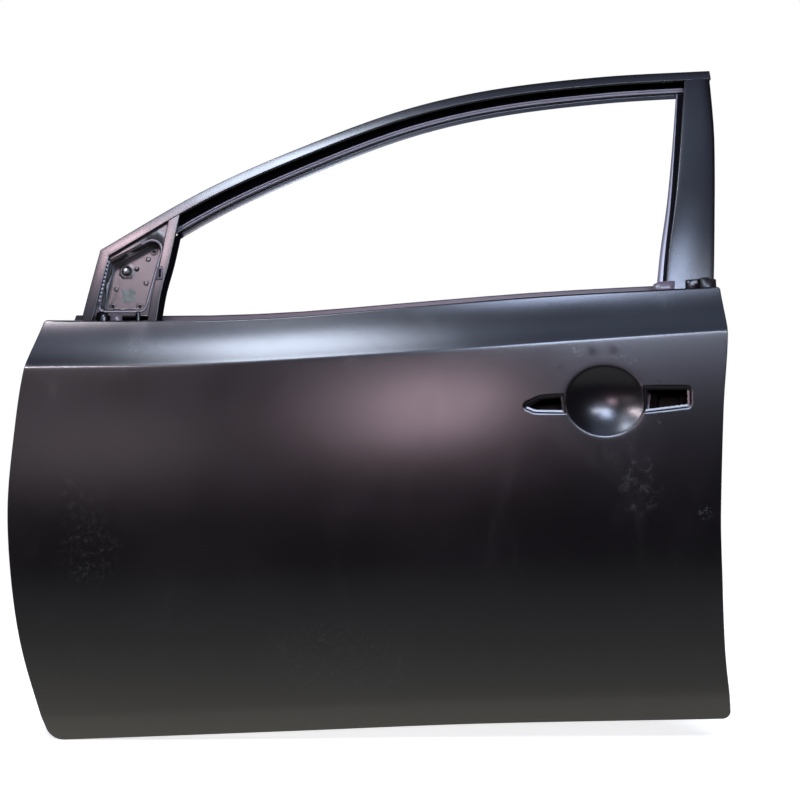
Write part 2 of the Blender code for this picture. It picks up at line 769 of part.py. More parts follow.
def inner_panel():
    """Inner panel: flange in the hem, drawn walls with a sealing step, and main face."""
    seat = SKIN_GAUGE + FLANGE_CLEAR
    patch = Patch(lambda x, z: Vector((x, inner_depth(x, z), z)))
    lines = [patch.line(flange_edge(), lift(skin_depth, flange_edge(), seat), closed=False)]
    steps = ((-BEND, -BEND, None, 0.0),
             (0.0, 0.0, None, BEND),
             (0.0, 0.001, SEAL_STEP + 0.002, 0.0),
             (0.002, 0.003, SEAL_STEP, 0.0),
             (SEAL_LEDGE, SEAL_LEDGE, SEAL_STEP, 0.0),
             (SEAL_LEDGE + 0.002, SEAL_LEDGE + 0.002, SEAL_STEP - 0.002, 0.0),
             (SEAL_LEDGE + 0.003, SEAL_LEDGE + 0.003, BEND, 0.0),
             (SEAL_LEDGE + 0.006, SEAL_LEDGE + 0.006, 0.0, 0.0))
    for shift, drawn, from_main, from_skin in steps:
        real = wall_line(shift)
        if from_main is None:
            space = [on(skin_depth, x, z, seat) + Vector((0.0, from_skin, 0.0)) for x, z in real]
        else:
            space = step_space(real, from_main)
        lines.append(patch.line(wall_line(drawn), space, closed=False))
    top_xs = spread(LATCH_FACE_X - 0.040, 0.040, 14)
    top = patch.line([(x, belt_z(x) + INNER_TOP) for x in top_xs], closed=False)
    boundary = lines[0] + [line[-1] for line in lines[1:]] + top + [line[0] for line in reversed(lines[1:])]
    patch.chain(boundary[len(lines[0]) - 1:] + boundary[:1])

    holes = [patch.line(rounded(SERVICE_HOLE, 4)), patch.line(rounded(FRONT_HOLE, 4)),
             patch.line(circle(SPEAKER_X, SPEAKER_Z, SPEAKER_RADIUS, 32))]
    holes += [patch.line(circle(x, z, CLIP_HOLE_RADIUS, 10)) for x, z in CLIP_HOLES]
    free = [(x, z) for x in spread(0.06, 1.0, 12) for z in spread(-0.10, 0.47, 8)]
    blocked = [[patch.flat[n] for n in hole] for hole in holes]
    patch.spots([p for p in free if not any(inside(b, *p) for b in blocked)], 0.02)
    points, faces, number = patch.sheet(boundary, holes)
    panel = thicken(make("inner_panel", points, faces, black_primer()), INNER_GAUGE)

    bolts = [circle(HINGE_DEPTH, z + side * HINGE_BOLT_PITCH / 2, HINGE_HOLE_RADIUS, 14)
             for z in (UPPER_HINGE_Z, LOWER_HINGE_Z) for side in (-1, 1)]
    bolts += [circle(HINGE_DEPTH, CHECK_Z + side * CHECK_BOLT_PITCH / 2, CHECK_HOLE_RADIUS, 12)
              for side in (-1, 1)]
    bolts.append(check_mouth(0.0))
    cut(panel, bolts, -0.010, 0.010, across_x)
    cut(panel, latch_bolts() + [latch_mouth(0.0)], LATCH_FACE_X - 0.010, LATCH_FACE_X + 0.010, across_x)
    return panel


def block(depth, z, width, height, corner=0.0):
    """Rounded rectangle drawn as (depth, z)."""
    return rounded([(depth + width / 2, z + height / 2, corner), (depth - width / 2, z + height / 2, corner),
                    (depth - width / 2, z - height / 2, corner), (depth + width / 2, z - height / 2, corner)])


def check_mouth(margin):
    return block(HINGE_DEPTH, CHECK_Z, CHECK_WIDTH + 2 * margin, CHECK_HEIGHT + 2 * margin, 0.006)


def latch_mouth(margin):
    return block(LATCH_DEPTH, LATCH_Z, LATCH_MOUTH + 2 * margin, LATCH_HEIGHT + 2 * margin, 0.008)


def latch_bolts():
    """Three screw holes round the latch mouth."""
    half = LATCH_BOLT_PITCH / 2
    return [circle(LATCH_DEPTH, LATCH_Z + half, LATCH_HOLE_RADIUS, 12),
            circle(LATCH_DEPTH, LATCH_Z - half, LATCH_HOLE_RADIUS, 12),
            circle(LATCH_DEPTH + LATCH_MOUTH / 2 + 0.012, LATCH_Z + half * 0.3, LATCH_HOLE_RADIUS, 12)]


def header_z(x):
    return smooth(HEADER_LINE, x)


def leg_x(z):
    """Outer edge of the front leg of the window frame."""
    corner = HEADER_LINE[0]
    return corner[0] - LEG_RAKE * (corner[1] - z)


def header_path(start, end, count):
    return [(x, header_z(x)) for x in spread(start, end, count)]


def header_level(x, across, inwards):
    """Level at x of the header's line that lies (across, inwards) from its outer edge."""
    at = x
    for _ in range(6):
        centre = on(frame_depth, at, header_z(at))
        along = on(frame_depth, at + 0.001, header_z(at + 0.001)) - centre
        normal = facing(frame_depth, at, header_z(at))
        point = centre + normal.cross(along).normalized() * across + normal * inwards
        at += x - point.x
    return point.z


def header_sash():
    """Outer strip of the window frame: front leg, mitred corner and header."""
    corner, last = HEADER_LINE[0], HEADER_LINE[-1]
    path = [(leg_x(z), z) for z in spread(LEG_FOOT, corner[1], 11)[:-1]]
    path += header_path(corner[0], last[0], 22)
    profile = [(0.0, HEADER_RETURN), (0.0, 0.002), (0.0006, 0.0006), (0.002, 0.0),
               (HEADER_FACE - 0.0012, 0.0), (HEADER_FACE, 0.0012), (HEADER_FACE, LIP)]
    rows = sweep_rows(path, profile, frame_depth)
    return rows_sheet("header_sash", rows, SASH_GAUGE, black_primer())


def run_profile(mouth, base, reach, beads):
    """Glass run channel: outer leg, base and a longer inner leg with stiffening beads."""
    shallow = SASH_GAUGE + INNER_GAUGE + GAP
    deep = CHANNEL_DEPTH
    profile = [(mouth, shallow), (base + 0.0015, shallow), (base, shallow + 0.0015),
               (base, deep - 0.0015), (base + 0.0015, deep)]
    if not beads:
        return profile + [(reach, deep)]
    edge = reach - 0.009
    return profile + [(edge - 0.0085, deep), (edge - 0.0070, deep - 0.0022), (edge - 0.0050, deep),
                      (edge - 0.0030, deep - 0.0022), (edge - 0.0015, deep), (edge, deep + 0.0035),
                      (reach, deep + 0.0035)]


def header_run_channel():
    """Glass run channel under the header, with two beads and the inner flange."""
    start = division_x(DIVISION_LINE[-1][0]) + 0.007
    end = pillar_inner(PILLAR_INNER[-1][0]) - 0.004
    profile = run_profile(HEADER_FACE - 0.0025, CHANNEL_BASE, HEADER_INNER_REACH, True)
    rows = sweep_rows(header_path(start, end, 20), profile, frame_depth)
    return rows_sheet("header_run_channel", rows, INNER_GAUGE, black_primer())


def division_x(z):
    """Rear edge of the division bar's face."""
    return smooth(DIVISION_LINE, z)


def pillar_inner(z):
    """Window edge of the rear pillar's face."""
    return smooth(PILLAR_INNER, z)


def pillar_outer(z):
    """Rear edge of the rear pillar's face."""
    return smooth(PILLAR_OUTER, z)


def pillar_cover():
    """Wide outer face of the rear pillar, crowned, with a turned edge on each side."""
    foot = belt_z(LATCH_FACE_X) - PILLAR_COVER_DROP
    levels = spread(PILLAR_INNER[-1][0] + 0.008, foot, 12)
    path = [(pillar_outer(z), z) for z in levels]

    def profile(i):
        width = pillar_outer(levels[i]) - pillar_inner(levels[i])
        crowned = [(width * t, -PILLAR_CROWN * 4 * t * (1 - t)) for t in (0.2, 0.4, 0.6, 0.8)]
        return ([(0.0, PILLAR_RETURN), (0.0, 0.002), (0.0006, 0.0006), (0.002, 0.0)] + crowned
                + [(width - 0.0012, 0.0), (width, 0.0012), (width, LIP)])
    rows = cut_back(sweep_rows(path, profile, frame_depth), 0, 1, profile(0), HEADER_FACE)
    return rows_sheet("pillar_cover", rows, SASH_GAUGE, black_primer())


def rear_run_channel():
    """Rear glass run channel, from the header down to the foot inside the door."""
    levels = spread(PILLAR_INNER[-1][0] - 0.010, REAR_RUN_FOOT, 14)
    path = [(pillar_inner(z), z) for z in levels]
    profile = run_profile(-0.0030, -RUN_CATCH, REAR_RUN_REACH, False)
    rows = cut_back(sweep_rows(path, profile, frame_depth), 0, 1, profile, HEADER_INNER_REACH)
    return rows_sheet("rear_run_channel", rows, INNER_GAUGE, black_primer())


def division_bar():
    """Face of the division bar between the mirror mounting and the glass."""
    foot = belt_z(DIVISION_LINE[0][1]) - 0.030
    levels = spread(foot, DIVISION_LINE[-1][0] + 0.012, 6)
    path = [(division_x(z), z) for z in levels]
    profile = [(-DIVISION_FACE, DIVISION_RETURN), (-DIVISION_FACE, 0.002), (-DIVISION_FACE + 0.002, 0.0),
               (-0.0012, 0.0), (0.0, 0.0012), (0.0, LIP)]
    rows = cut_back(sweep_rows(path, profile, frame_depth), -1, -2, profile, HEADER_FACE)
    return rows_sheet("division_bar", rows, SASH_GAUGE, black_primer())


def front_run_channel():
    """Front glass run channel behind the division bar, down to its foot inside the door."""
    levels = spread(DIVISION_FOOT, DIVISION_LINE[-1][0], 14)
    path = [(division_x(z), z) for z in levels]
    profile = run_profile(-0.0030, -RUN_CATCH, DIVISION_RUN_REACH, False)
    rows = cut_back(sweep_rows(path, profile, frame_depth), -1, -2, profile, HEADER_FACE + SASH_GAUGE)
    return rows_sheet("front_run_channel", rows, INNER_GAUGE, black_primer())


def mirror_outline():
    """Outline of the mirror frame: tucked under the header and leg, beside the division bar."""
    foot = belt_z(MIRROR_CORNERS[1][0]) + MIRROR_FOOT_RISE

    def leg_side(z):
        return leg_x(z) + HEADER_FACE * math.hypot(1, LEG_RAKE) - MIRROR_TUCK

    def bar_side(z):
        slope = (division_x(z + 0.01) - division_x(z - 0.01)) / 0.02
        return division_x(z) - DIVISION_FACE * math.hypot(1, slope) - 3 * GAP
    front_top = rear_top = MIRROR_CORNERS[0][1]
    for _ in range(8):
        front_top = header_level(leg_side(front_top), HEADER_FACE - MIRROR_TUCK, 0.0)
        rear_top = header_level(bar_side(rear_top), HEADER_FACE - MIRROR_TUCK, 0.0)
    rear = [(bar_side(z), z) for z in spread(foot, rear_top, 8)]
    return [(leg_side(front_top), front_top), (leg_side(foot), foot)] + rear


def mirror_seat(x, z):
    """Depth of the flat seat of the mirror, before the depth of its walls."""
    x_mid = sum(corner[0] for corner in MIRROR_CORNERS) / 4
    z_mid = sum(corner[1] for corner in MIRROR_CORNERS) / 4
    normal = facing(frame_depth, x_mid, z_mid)
    return frame_depth(x_mid, z_mid) - (normal.x * (x - x_mid) + normal.z * (z - z_mid)) / normal.y


def mirror_frame():
    """Stamped frame of the mirror mounting, with a rounded rim and a deep drawn wall."""
    face = LIP + 2 * GAP
    patch = Patch(lambda x, z: on(frame_depth, x, z, face))
    outer = patch.line(stepped(mirror_outline()))
    for grow, sunk in ((MIRROR_RIM, 0.0), (0.0008, 0.0010)):
        loop = shrunk(MIRROR_CORNERS, -grow)
        patch.line(loop, lift(frame_depth, loop, face + sunk))
    hole = None
    for shrink, surface, sunk in ((0.0006, frame_depth, face + 0.0035),
                                  (0.0020, mirror_seat, MIRROR_WALL_DEPTH)):
        loop = shrunk(MIRROR_CORNERS, shrink)
        hole = patch.line(loop, lift(surface, loop, sunk))
    points, faces, _ = patch.sheet(outer, [hole])
    return thicken(make("mirror_frame", points, faces, black_primer()), SASH_GAUGE)


def mirror_plate():
    """Plate at the bottom of the mirror mounting, with its stud seat and fixing holes."""
    base = MIRROR_WALL_DEPTH + 2 * GAP
    patch = Patch(lambda x, z: on(mirror_seat, x, z, base))
    outer = patch.line(shrunk(MIRROR_CORNERS, -MIRROR_PLATE_MARGIN))
    for centre, radius, sunk in ((MIRROR_STUD, 0.0095, 0.0), (MIRROR_STUD, 0.0075, 0.0025),
                                 (MIRROR_PIN, 0.0050, 0.0), (MIRROR_PIN, 0.0028, -0.0022)):
        loop = circle(*centre, radius, 12)
        patch.line(loop, lift(mirror_seat, loop, base + sunk))
    holes = [patch.line(circle(x, z, MIRROR_HOLE_RADIUS, 12)) for x, z in MIRROR_NUTS]
    seat = circle(*MIRROR_STUD, MIRROR_STUD_RADIUS + GAP, 12)
    holes.append(patch.line(seat, lift(mirror_seat, seat, base + 0.0025)))
    points, faces, _ = patch.sheet(outer, holes)
    return thicken(make("mirror_plate", points, faces, black_primer()), SASH_GAUGE)


def turned_piece(name, foot, axis, profile, sides, finish, flats=0.0):
    """Turned ring or pin: (radius, height) steps round an axis, or a hexagon of given flats."""
    axis = Vector(axis).normalized()
    across = axis.orthogonal().normalized()
    upright = axis.cross(across)
    points = []
    for radius, height in profile:
        for k in range(sides):
            angle = 2 * math.pi * k / sides
            reach = radius
            if flats and radius >= flats / 2:
                reach = flats / 2 / math.cos((angle + math.pi / 6) % (math.pi / 3) - math.pi / 6)
            points.append(Vector(foot) + axis * height
                          + (across * math.cos(angle) + upright * math.sin(angle)) * reach)
    faces = []
    steps = len(profile)
    for j in range(steps):
        for k in range(sides):
            after = (k + 1) % sides
            up = (j + 1) % steps
            faces.append((j * sides + k, j * sides + after, up * sides + after, up * sides + k))
    made = make(name, points, faces, finish)
    point_out(made)
    made.data.shade_flat()
    return made


def nut(name, foot, axis, flats, height, bore):
    """Weld nut: a hexagon with its thread's bore."""
    profile = [(bore, 0.0), (flats / 2, 0.0), (flats / 2, height), (bore, height)]
    return turned_piece(name, foot, axis, profile, 12, plated_steel(), flats)


def mirror_fixings():
    """Stud and three weld nuts on the mirror plate."""
    base = MIRROR_WALL_DEPTH + 2 * GAP
    x, z = MIRROR_STUD
    axis = facing(mirror_seat, x, z)
    head = base + 0.0025 + SASH_GAUGE + GAP
    r = MIRROR_STUD_RADIUS
    profile = [(r * 0.35, head - 0.011), (r * 0.85, head - 0.011), (r, head - 0.010), (r, head),
               (r * 2, head), (r * 2, head + 0.002), (r * 0.35, head + 0.002)]
    turned_piece("mirror_stud", on(mirror_seat, x, z), axis, profile, 12, plated_steel())
    for name, (x, z) in zip(("front", "rear", "top"), MIRROR_NUTS):
        nut("mirror_nut_" + name, on(mirror_seat, x, z, base + SASH_GAUGE + GAP),
            facing(mirror_seat, x, z), MIRROR_NUT_FLATS, MIRROR_NUT_HEIGHT, MIRROR_HOLE_RADIUS)


def mirror_foot_bracket():
    """Shelf that ties the foot of the mirror frame to the top of the inner panel."""
    foot = belt_z(MIRROR_CORNERS[1][0]) + MIRROR_FOOT_RISE
    shelf = foot - 0.0035
    rows = []
    for x in spread(MIRROR_CORNERS[1][0] + 0.001, MIRROR_CORNERS[2][0] - 0.010, 5):
        back = LIP + 3 * GAP + SASH_GAUGE
        top = on(frame_depth, x, foot + 0.006, back)
        low = on(frame_depth, x, foot, back)
        inner = inner_depth(x, shelf) - GAP - SASH_GAUGE
        rows.append([top, low, Vector((x, low.y + 0.003, shelf)), Vector((x, inner - 0.003, shelf)),
                     Vector((x, inner, shelf - 0.003)), Vector((x, inner, shelf - 0.014))])
    return rows_sheet("mirror_foot_bracket", rows, SASH_GAUGE, black_primer())


def belt_box(name, surface, top, depth, base, start, end):
    """Hat-section reinforcement along the belt, laid on the inside of a panel."""
    f, h = BELT_FLANGE_WIDTH, BELT_BOX_HEIGHT
    section = ((0.0, base), (f, base), (f + 0.002, base + depth), (h - f - 0.002, base + depth),
               (h - f, base), (h, base))
    rows = []
    for x in spread(start, end, 16):
        z = belt_z(x) + top
        rows.append([on(surface, x, z - u, n) for u, n in section])
    return rows_sheet(name, rows, BRACKET_GAUGE / 2, black_primer())


def belt_reinforcements():
    """Outer one on the outer panel, inner one on the inner panel's outboard side."""
    belt_box("outer_belt_reinforcement", skin_depth, -0.005, OUTER_BELT_DEPTH, SKIN_GAUGE + GAP,
             hinge_wall_x(belt_z(0.0) - WALL_TOP_DROP) + 0.004, LATCH_FACE_X - INNER_GAUGE - 2 * GAP)
    seat = -(BRACKET_GAUGE / 2 + GAP)
    belt_box("inner_belt_reinforcement", inner_depth, INNER_TOP - 0.002, -INNER_BELT_DEPTH, seat,
             MIRROR_CORNERS[2][0] + 0.004, LATCH_FACE_X - 0.024)


def beam_axis():
    """Ends of the impact beam's axis, on the inside of the hinge and latch walls."""
    near, far = INNER_GAUGE, LATCH_FACE_X - INNER_GAUGE
    front = Vector((near, skin_depth(near, BEAM_FRONT_Z) + BEAM_STAND_OFF, BEAM_FRONT_Z))
    rear = Vector((far, skin_depth(far, BEAM_REAR_Z) + BEAM_STAND_OFF, BEAM_REAR_Z))
    return front, rear


def tube_ring(centre, direction, radius, sides, plane_x=None):
    """Ring of points round an axis, slid along the axis onto a plane of constant x if given."""
    upright = direction.cross(Vector((0.0, 1.0, 0.0))).normalized()
    across = upright.cross(direction).normalized()
    ring = []
    for k in range(sides):
        angle = 2 * math.pi * k / sides
        point = centre + (across * math.cos(angle) + upright * math.sin(angle)) * radius
        if plane_x is not None:
            point += direction * ((plane_x - point.x) / direction.x)
        ring.append(point)
    return ring


def side_impact_beam():
    """Tube that runs from the hinge wall to the latch wall behind the outer panel."""
    front, rear = beam_axis()
    direction = (rear - front).normalized()
    stand = 2 * GAP + BRACKET_GAUGE
    sides = 20
    rings = [tube_ring(front, direction, BEAM_RADIUS, sides, front.x + stand),
             tube_ring(rear, direction, BEAM_RADIUS, sides, rear.x - stand),
             tube_ring(rear, direction, BEAM_RADIUS - BEAM_WALL, sides, rear.x - stand),
             tube_ring(front, direction, BEAM_RADIUS - BEAM_WALL, sides, front.x + stand)]
    points = [point for ring in rings for point in ring]
    faces = [(j * sides + k, j * sides + (k + 1) % sides, (j + 1) % 4 * sides + (k + 1) % sides,
              (j + 1) % 4 * sides + k) for j in range(4) for k in range(sides)]
    made = make("side_impact_beam", points, faces, black_primer())
    point_out(made)
    smooth_shading(made)


def beam_bracket(name, foot, direction, plane_x):
    """Drawn collar that holds one end of the beam, on a plate against the wall."""
    sides = 24
    inner = BEAM_RADIUS + GAP
    far = plane_x + math.copysign(COLLAR_LENGTH, direction.x)
    near = plane_x + math.copysign(0.004, direction.x)
    collar = tube_ring(foot, direction, inner, sides, far)
    base = tube_ring(foot, direction, inner, sides, near)
    flare = tube_ring(foot, direction, inner + 0.004, sides, plane_x)
    rows = []
    for k in range(sides):
        way = (flare[k] - foot)
        stretch = min(COLLAR_PLATE_WIDTH / 2 / max(abs(way.y), 1e-6),
                      COLLAR_PLATE_HEIGHT / 2 / max(abs(way.z), 1e-6))
        edge = Vector((plane_x, foot.y + way.y * stretch, foot.z + way.z * stretch))
        rows.append([collar[k], base[k], flare[k], edge])
    return rows_sheet(name, rows[::-1], BRACKET_GAUGE, black_primer(), closed=True)


def beam_brackets():
    front, rear = beam_axis()
    direction = (rear - front).normalized()
    beam_bracket("front_beam_bracket", front, direction, front.x + GAP)
    beam_bracket("rear_beam_bracket", rear, -direction, rear.x - GAP)


def wall_plate(name, face_x, inboard, depths, levels, gauge, holes):
    """Plate against a wall, with its inner edge turned away from the wall."""
    side = 1 if inboard > 0 else -1
    start, end = depths
    section = [(face_x + inboard, end), (face_x + side * BEND, end), (face_x, end - BEND), (face_x, start)]
    rows = [[Vector((x, y, z)) for x, y in section] for z in levels]
    if side < 0:
        rows = rows[::-1]
    plate = rows_sheet(name, rows, gauge, black_primer())
    cut(plate, holes, face_x - 0.008, face_x + 0.008, across_x)


def hinge_fixings():
    """Reinforcements and weld nuts behind the two hinge faces and the door check."""
    wall = INNER_GAUGE + GAP
    deep = inner_depth(0.0, 0.0) - SEAL_STEP - 0.006
    half = HINGE_PLATE_HEIGHT / 2
    for name, z in (("upper", UPPER_HINGE_Z), ("lower", LOWER_HINGE_Z)):
        bolts = [z + side * HINGE_BOLT_PITCH / 2 for side in (-1, 1)]
        holes = [circle(HINGE_DEPTH, bolt, HINGE_HOLE_RADIUS, 14) for bolt in bolts]
        wall_plate(name + "_hinge_reinforcement", wall, HINGE_PLATE_FLANGE, (HINGE_DEPTH - 0.022, deep),
                   (z - half, z + half), HINGE_PLATE_GAUGE, holes)
        for place, bolt in zip(("bottom", "top"), bolts):
            nut(name + "_hinge_nut_" + place, (wall + HINGE_PLATE_GAUGE + GAP, HINGE_DEPTH, bolt),
                (1, 0, 0), HINGE_NUT_FLATS, HINGE_NUT_HEIGHT, HINGE_HOLE_RADIUS)
    bolts = [CHECK_Z + side * CHECK_BOLT_PITCH / 2 for side in (-1, 1)]
    holes = [circle(HINGE_DEPTH, bolt, CHECK_HOLE_RADIUS, 12) for bolt in bolts] + [check_mouth(0.002)]
    low, high = bolts[0] - CHECK_PLATE_MARGIN, bolts[1] + CHECK_PLATE_MARGIN
    wall_plate("check_reinforcement", wall, CHECK_PLATE_FLANGE, (BEAM_CLEAR_DEPTH, deep), (low, high),
               BRACKET_GAUGE, holes)
    for place, bolt in zip(("bottom", "top"), bolts):
        nut("check_nut_" + place, (wall + BRACKET_GAUGE + GAP, HINGE_DEPTH, bolt),
            (1, 0, 0), CHECK_NUT_FLATS, CHECK_NUT_HEIGHT, CHECK_HOLE_RADIUS)


def latch_reinforcement():
    """Plate behind the latch opening, with the latch's screw holes."""
    wall = LATCH_FACE_X - INNER_GAUGE - GAP
    half = LATCH_PLATE_HEIGHT / 2
    wall_plate("latch_reinforcement", wall, -LATCH_PLATE_FLANGE,
               (LATCH_DEPTH - LATCH_PLATE_OUTER, LATCH_DEPTH + LATCH_PLATE_INNER),
               (LATCH_Z - half, LATCH_Z + half), BRACKET_GAUGE, latch_bolts() + [latch_mouth(0.002)])


def handle_reinforcement():
    """Stamped plate that the outside handle is fixed to, seated on the outer panel's inside."""
    seat = SKIN_GAUGE + 2 * GAP
    raised = SKIN_GAUGE + SEAT_DEPTH + 2 * GAP
    top = BOWL_Z + REAR_SEAT_TOP + HANDLE_PLATE_MARGIN
    low = BOWL_Z - FRONT_SEAT_BOTTOM - HANDLE_PLATE_MARGIN
    front = BOWL_X - BOWL_LENGTH / 2 - FRONT_SEAT_REACH - HANDLE_PLATE_MARGIN
    rear = BOWL_X + BOWL_LENGTH / 2 + REAR_SEAT_REACH + HANDLE_PLATE_MARGIN
    corners = [(front, top - 0.012, 0.010), (front, low + 0.006, 0.010),
               (BOWL_X - 0.04, BOWL_Z - BOWL_HEIGHT / 2 - HANDLE_PLATE_MARGIN - 0.004, 0.03),
               (BOWL_X + 0.04, BOWL_Z - BOWL_HEIGHT / 2 - HANDLE_PLATE_MARGIN - 0.004, 0.03),
               (rear, low + 0.004, 0.010), (rear, top, 0.010),
               (BOWL_X + 0.04, BOWL_Z + BOWL_HEIGHT / 2 + HANDLE_PLATE_MARGIN, 0.03),
               (BOWL_X - 0.04, BOWL_Z + BOWL_HEIGHT / 2 + HANDLE_PLATE_MARGIN, 0.03)]
    patch = Patch(lambda x, z: on(skin_depth, x, z, raised))
    for shrink, depth in ((0.0, seat), (0.0060, seat), (0.0085, raised)):
        loop = shrunk(corners, shrink)
        number = patch.line(loop, lift(skin_depth, loop, depth))
        if not shrink:
            outer = number
    holes = [patch.line(bowl_ring(1.05, 28))]
    for seat_outline in (front_seat(), rear_seat()):
        holes.append(patch.line(shrunk(seat_outline, SEAT_WALL + 0.001)))
    patch.spots([(x, z) for x in spread(front, rear, 12) for z in spread(low, top, 7)], 0.007)
    points, faces, _ = patch.sheet(outer, holes)
    return thicken(make("handle_reinforcement", points, faces, black_primer()), INNER_GAUGE)


def run_bracket(name, edge_x, z, height, near, far):
    """Z-shaped bracket from the back of a glass run channel to what stands inboard of it."""
    rows = []
    for level in (z - height / 2, z + height / 2):
        x = edge_x(level)
        start = [near(x + step, level) + 2 * GAP for step in (-0.006, 0.008)]
        end = [far(x + step, level) - GAP - BRACKET_GAUGE for step in (0.014, 0.030)]
        rows.append([Vector((x - 0.006, start[0], level)), Vector((x + 0.008, start[1], level)),
                     Vector((x + 0.011, start[1] + BEND, level)), Vector((x + 0.011, end[0] - BEND, level)),
                     Vector((x + 0.014, end[0], level)), Vector((x + 0.030, end[1], level))])
    return rows_sheet(name, rows, BRACKET_GAUGE, black_primer())


def channel_back(x, z):
    """Depth of the inboard side of the glass run channels."""
    return behind(frame_depth, x, z, CHANNEL_DEPTH + INNER_GAUGE)


def belt_box_face(x, z):
    """Depth of the outboard face of the inner belt reinforcement."""
    return inner_depth(x, z) - INNER_BELT_DEPTH - BRACKET_GAUGE / 2 - GAP


def run_brackets():
    """Brackets that carry the glass run channels at the belt and at their feet."""
    for name, edge_x, foot in (("front", division_x, DIVISION_FOOT), ("rear", pillar_inner, REAR_RUN_FOOT)):
        belt = belt_z(edge_x(0.5)) + INNER_TOP - 0.002 - BELT_BOX_HEIGHT / 2
        run_bracket(name + "_run_upper_bracket", edge_x, belt, 0.018, channel_back, belt_box_face)
        run_bracket(name + "_run_foot_bracket", edge_x, foot + 0.028, 0.026, channel_back, inner_depth)


def leg_bracket():
    """Bracket that ties the frame's front leg to the hinge wall."""
    rows = []
    for z in spread(LEG_BRACKET_FOOT, LEG_BRACKET_TOP, 4):
        near = hinge_wall_x(z) + 2 * GAP
        far = leg_x(z) - 2 * GAP
        face = frame_depth(leg_x(z), z)
        start, end = face + 0.006, face + HEADER_RETURN
        rows.append([Vector((near, end, z)), Vector((near, start + BEND, z)), Vector((near + BEND, start, z)),
                     Vector((far - BEND, start, z)), Vector((far, start + BEND, z)), Vector((far, end, z))])
    return rows_sheet("front_leg_bracket", rows, BRACKET_GAUGE, black_primer())


def pillar_bracket():
    """Angle that ties the foot of the pillar cover to the latch wall."""
    rows = []
    wall = LATCH_FACE_X - INNER_GAUGE - GAP
    for z in spread(belt_z(wall) - 0.056, belt_z(wall) + 0.030, 5):
        edge = pillar_inner(z) + RUN_CATCH + 0.004
        section = []
        for x in (edge, (edge + wall) / 2, wall - BEND):
            section.append(Vector((x, behind(frame_depth, x, z, SASH_GAUGE + 2 * GAP), z)))
        face = section[-1].y
        section += [Vector((wall, face + BEND, z)), Vector((wall, face + 0.040, z))]
        rows.append(section)
    return rows_sheet("pillar_bracket", rows, BRACKET_GAUGE, black_primer())


def setup():
    """Empties the scene and places the hinge datum."""
    for old in list(bpy.data.objects):
        bpy.data.objects.remove(old, do_unlink=True)
    datum = bpy.data.objects.new("hinge_datum", None)
    datum.location = (0.0, -HINGE_DEPTH, -UPPER_HINGE_Z)
    bpy.context.scene.collection.objects.link(datum)


def build():
    setup()
    outer_panel()
    inner_panel()
    header_sash()
    header_run_channel()
    pillar_cover()
    rear_run_channel()
    division_bar()
    front_run_channel()
    mirror_frame()
    mirror_plate()
    mirror_fixings()
    mirror_foot_bracket()
    belt_reinforcements()
    side_impact_beam()
    beam_brackets()
    hinge_fixings()
    latch_reinforcement()
    handle_reinforcement()
    run_brackets()
    leg_bracket()
    pillar_bracket()
    bpy.context.view_layer.update()


build()
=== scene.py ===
"""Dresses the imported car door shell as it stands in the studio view.

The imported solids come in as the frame. The outer panel, the window frame and the mirror
mounting are drawn again finely over their own solids, small plates close the window frame's
feet, weld marks are grown in rows with Geometry Nodes, and every piece gets a procedural
finish. Lengths are in metres. The door's grid has X rearwards, Z up and depth inwards, and
its hinge datum is the world's origin.
"""
import json
import logging
import math
from dataclasses import dataclass
from enum import Enum
from typing import Callable, Dict, List, Optional, Sequence, Tuple, Union

import bpy
import numpy as np
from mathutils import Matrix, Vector
from mathutils.geometry import delaunay_2d_cdt

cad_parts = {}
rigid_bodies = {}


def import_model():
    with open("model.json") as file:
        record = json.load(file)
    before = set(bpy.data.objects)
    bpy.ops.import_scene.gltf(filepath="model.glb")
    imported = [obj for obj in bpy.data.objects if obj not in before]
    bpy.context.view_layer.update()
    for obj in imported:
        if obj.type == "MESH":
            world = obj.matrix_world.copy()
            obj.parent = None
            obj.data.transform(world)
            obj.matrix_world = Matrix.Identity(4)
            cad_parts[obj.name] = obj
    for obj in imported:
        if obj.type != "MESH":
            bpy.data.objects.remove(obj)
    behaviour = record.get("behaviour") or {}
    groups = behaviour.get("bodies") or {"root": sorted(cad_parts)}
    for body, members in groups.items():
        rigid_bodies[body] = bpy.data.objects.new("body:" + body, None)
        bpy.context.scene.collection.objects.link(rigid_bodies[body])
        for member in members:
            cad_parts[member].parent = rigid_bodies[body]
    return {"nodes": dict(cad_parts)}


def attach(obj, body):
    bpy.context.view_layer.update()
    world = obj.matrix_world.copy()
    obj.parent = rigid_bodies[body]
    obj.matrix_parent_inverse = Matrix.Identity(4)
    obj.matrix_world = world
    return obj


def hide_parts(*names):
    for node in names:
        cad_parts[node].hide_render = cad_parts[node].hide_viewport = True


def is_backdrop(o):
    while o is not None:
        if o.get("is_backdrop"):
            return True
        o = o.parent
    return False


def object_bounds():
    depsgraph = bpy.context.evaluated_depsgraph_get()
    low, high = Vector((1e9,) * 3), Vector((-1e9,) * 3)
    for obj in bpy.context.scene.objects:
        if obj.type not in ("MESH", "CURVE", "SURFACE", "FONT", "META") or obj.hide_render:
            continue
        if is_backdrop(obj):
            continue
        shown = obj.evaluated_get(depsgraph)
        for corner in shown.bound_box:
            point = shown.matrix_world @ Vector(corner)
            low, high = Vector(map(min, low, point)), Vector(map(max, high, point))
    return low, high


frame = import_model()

Flat = Tuple[float, float]
Field = Callable[[np.ndarray, np.ndarray], np.ndarray]
Socket = bpy.types.NodeSocket
Value = Union[float, Sequence[float], Socket]

LOG = logging.getLogger("car_door_shell")

DATUM = Vector((0.0, -0.082, -0.380))


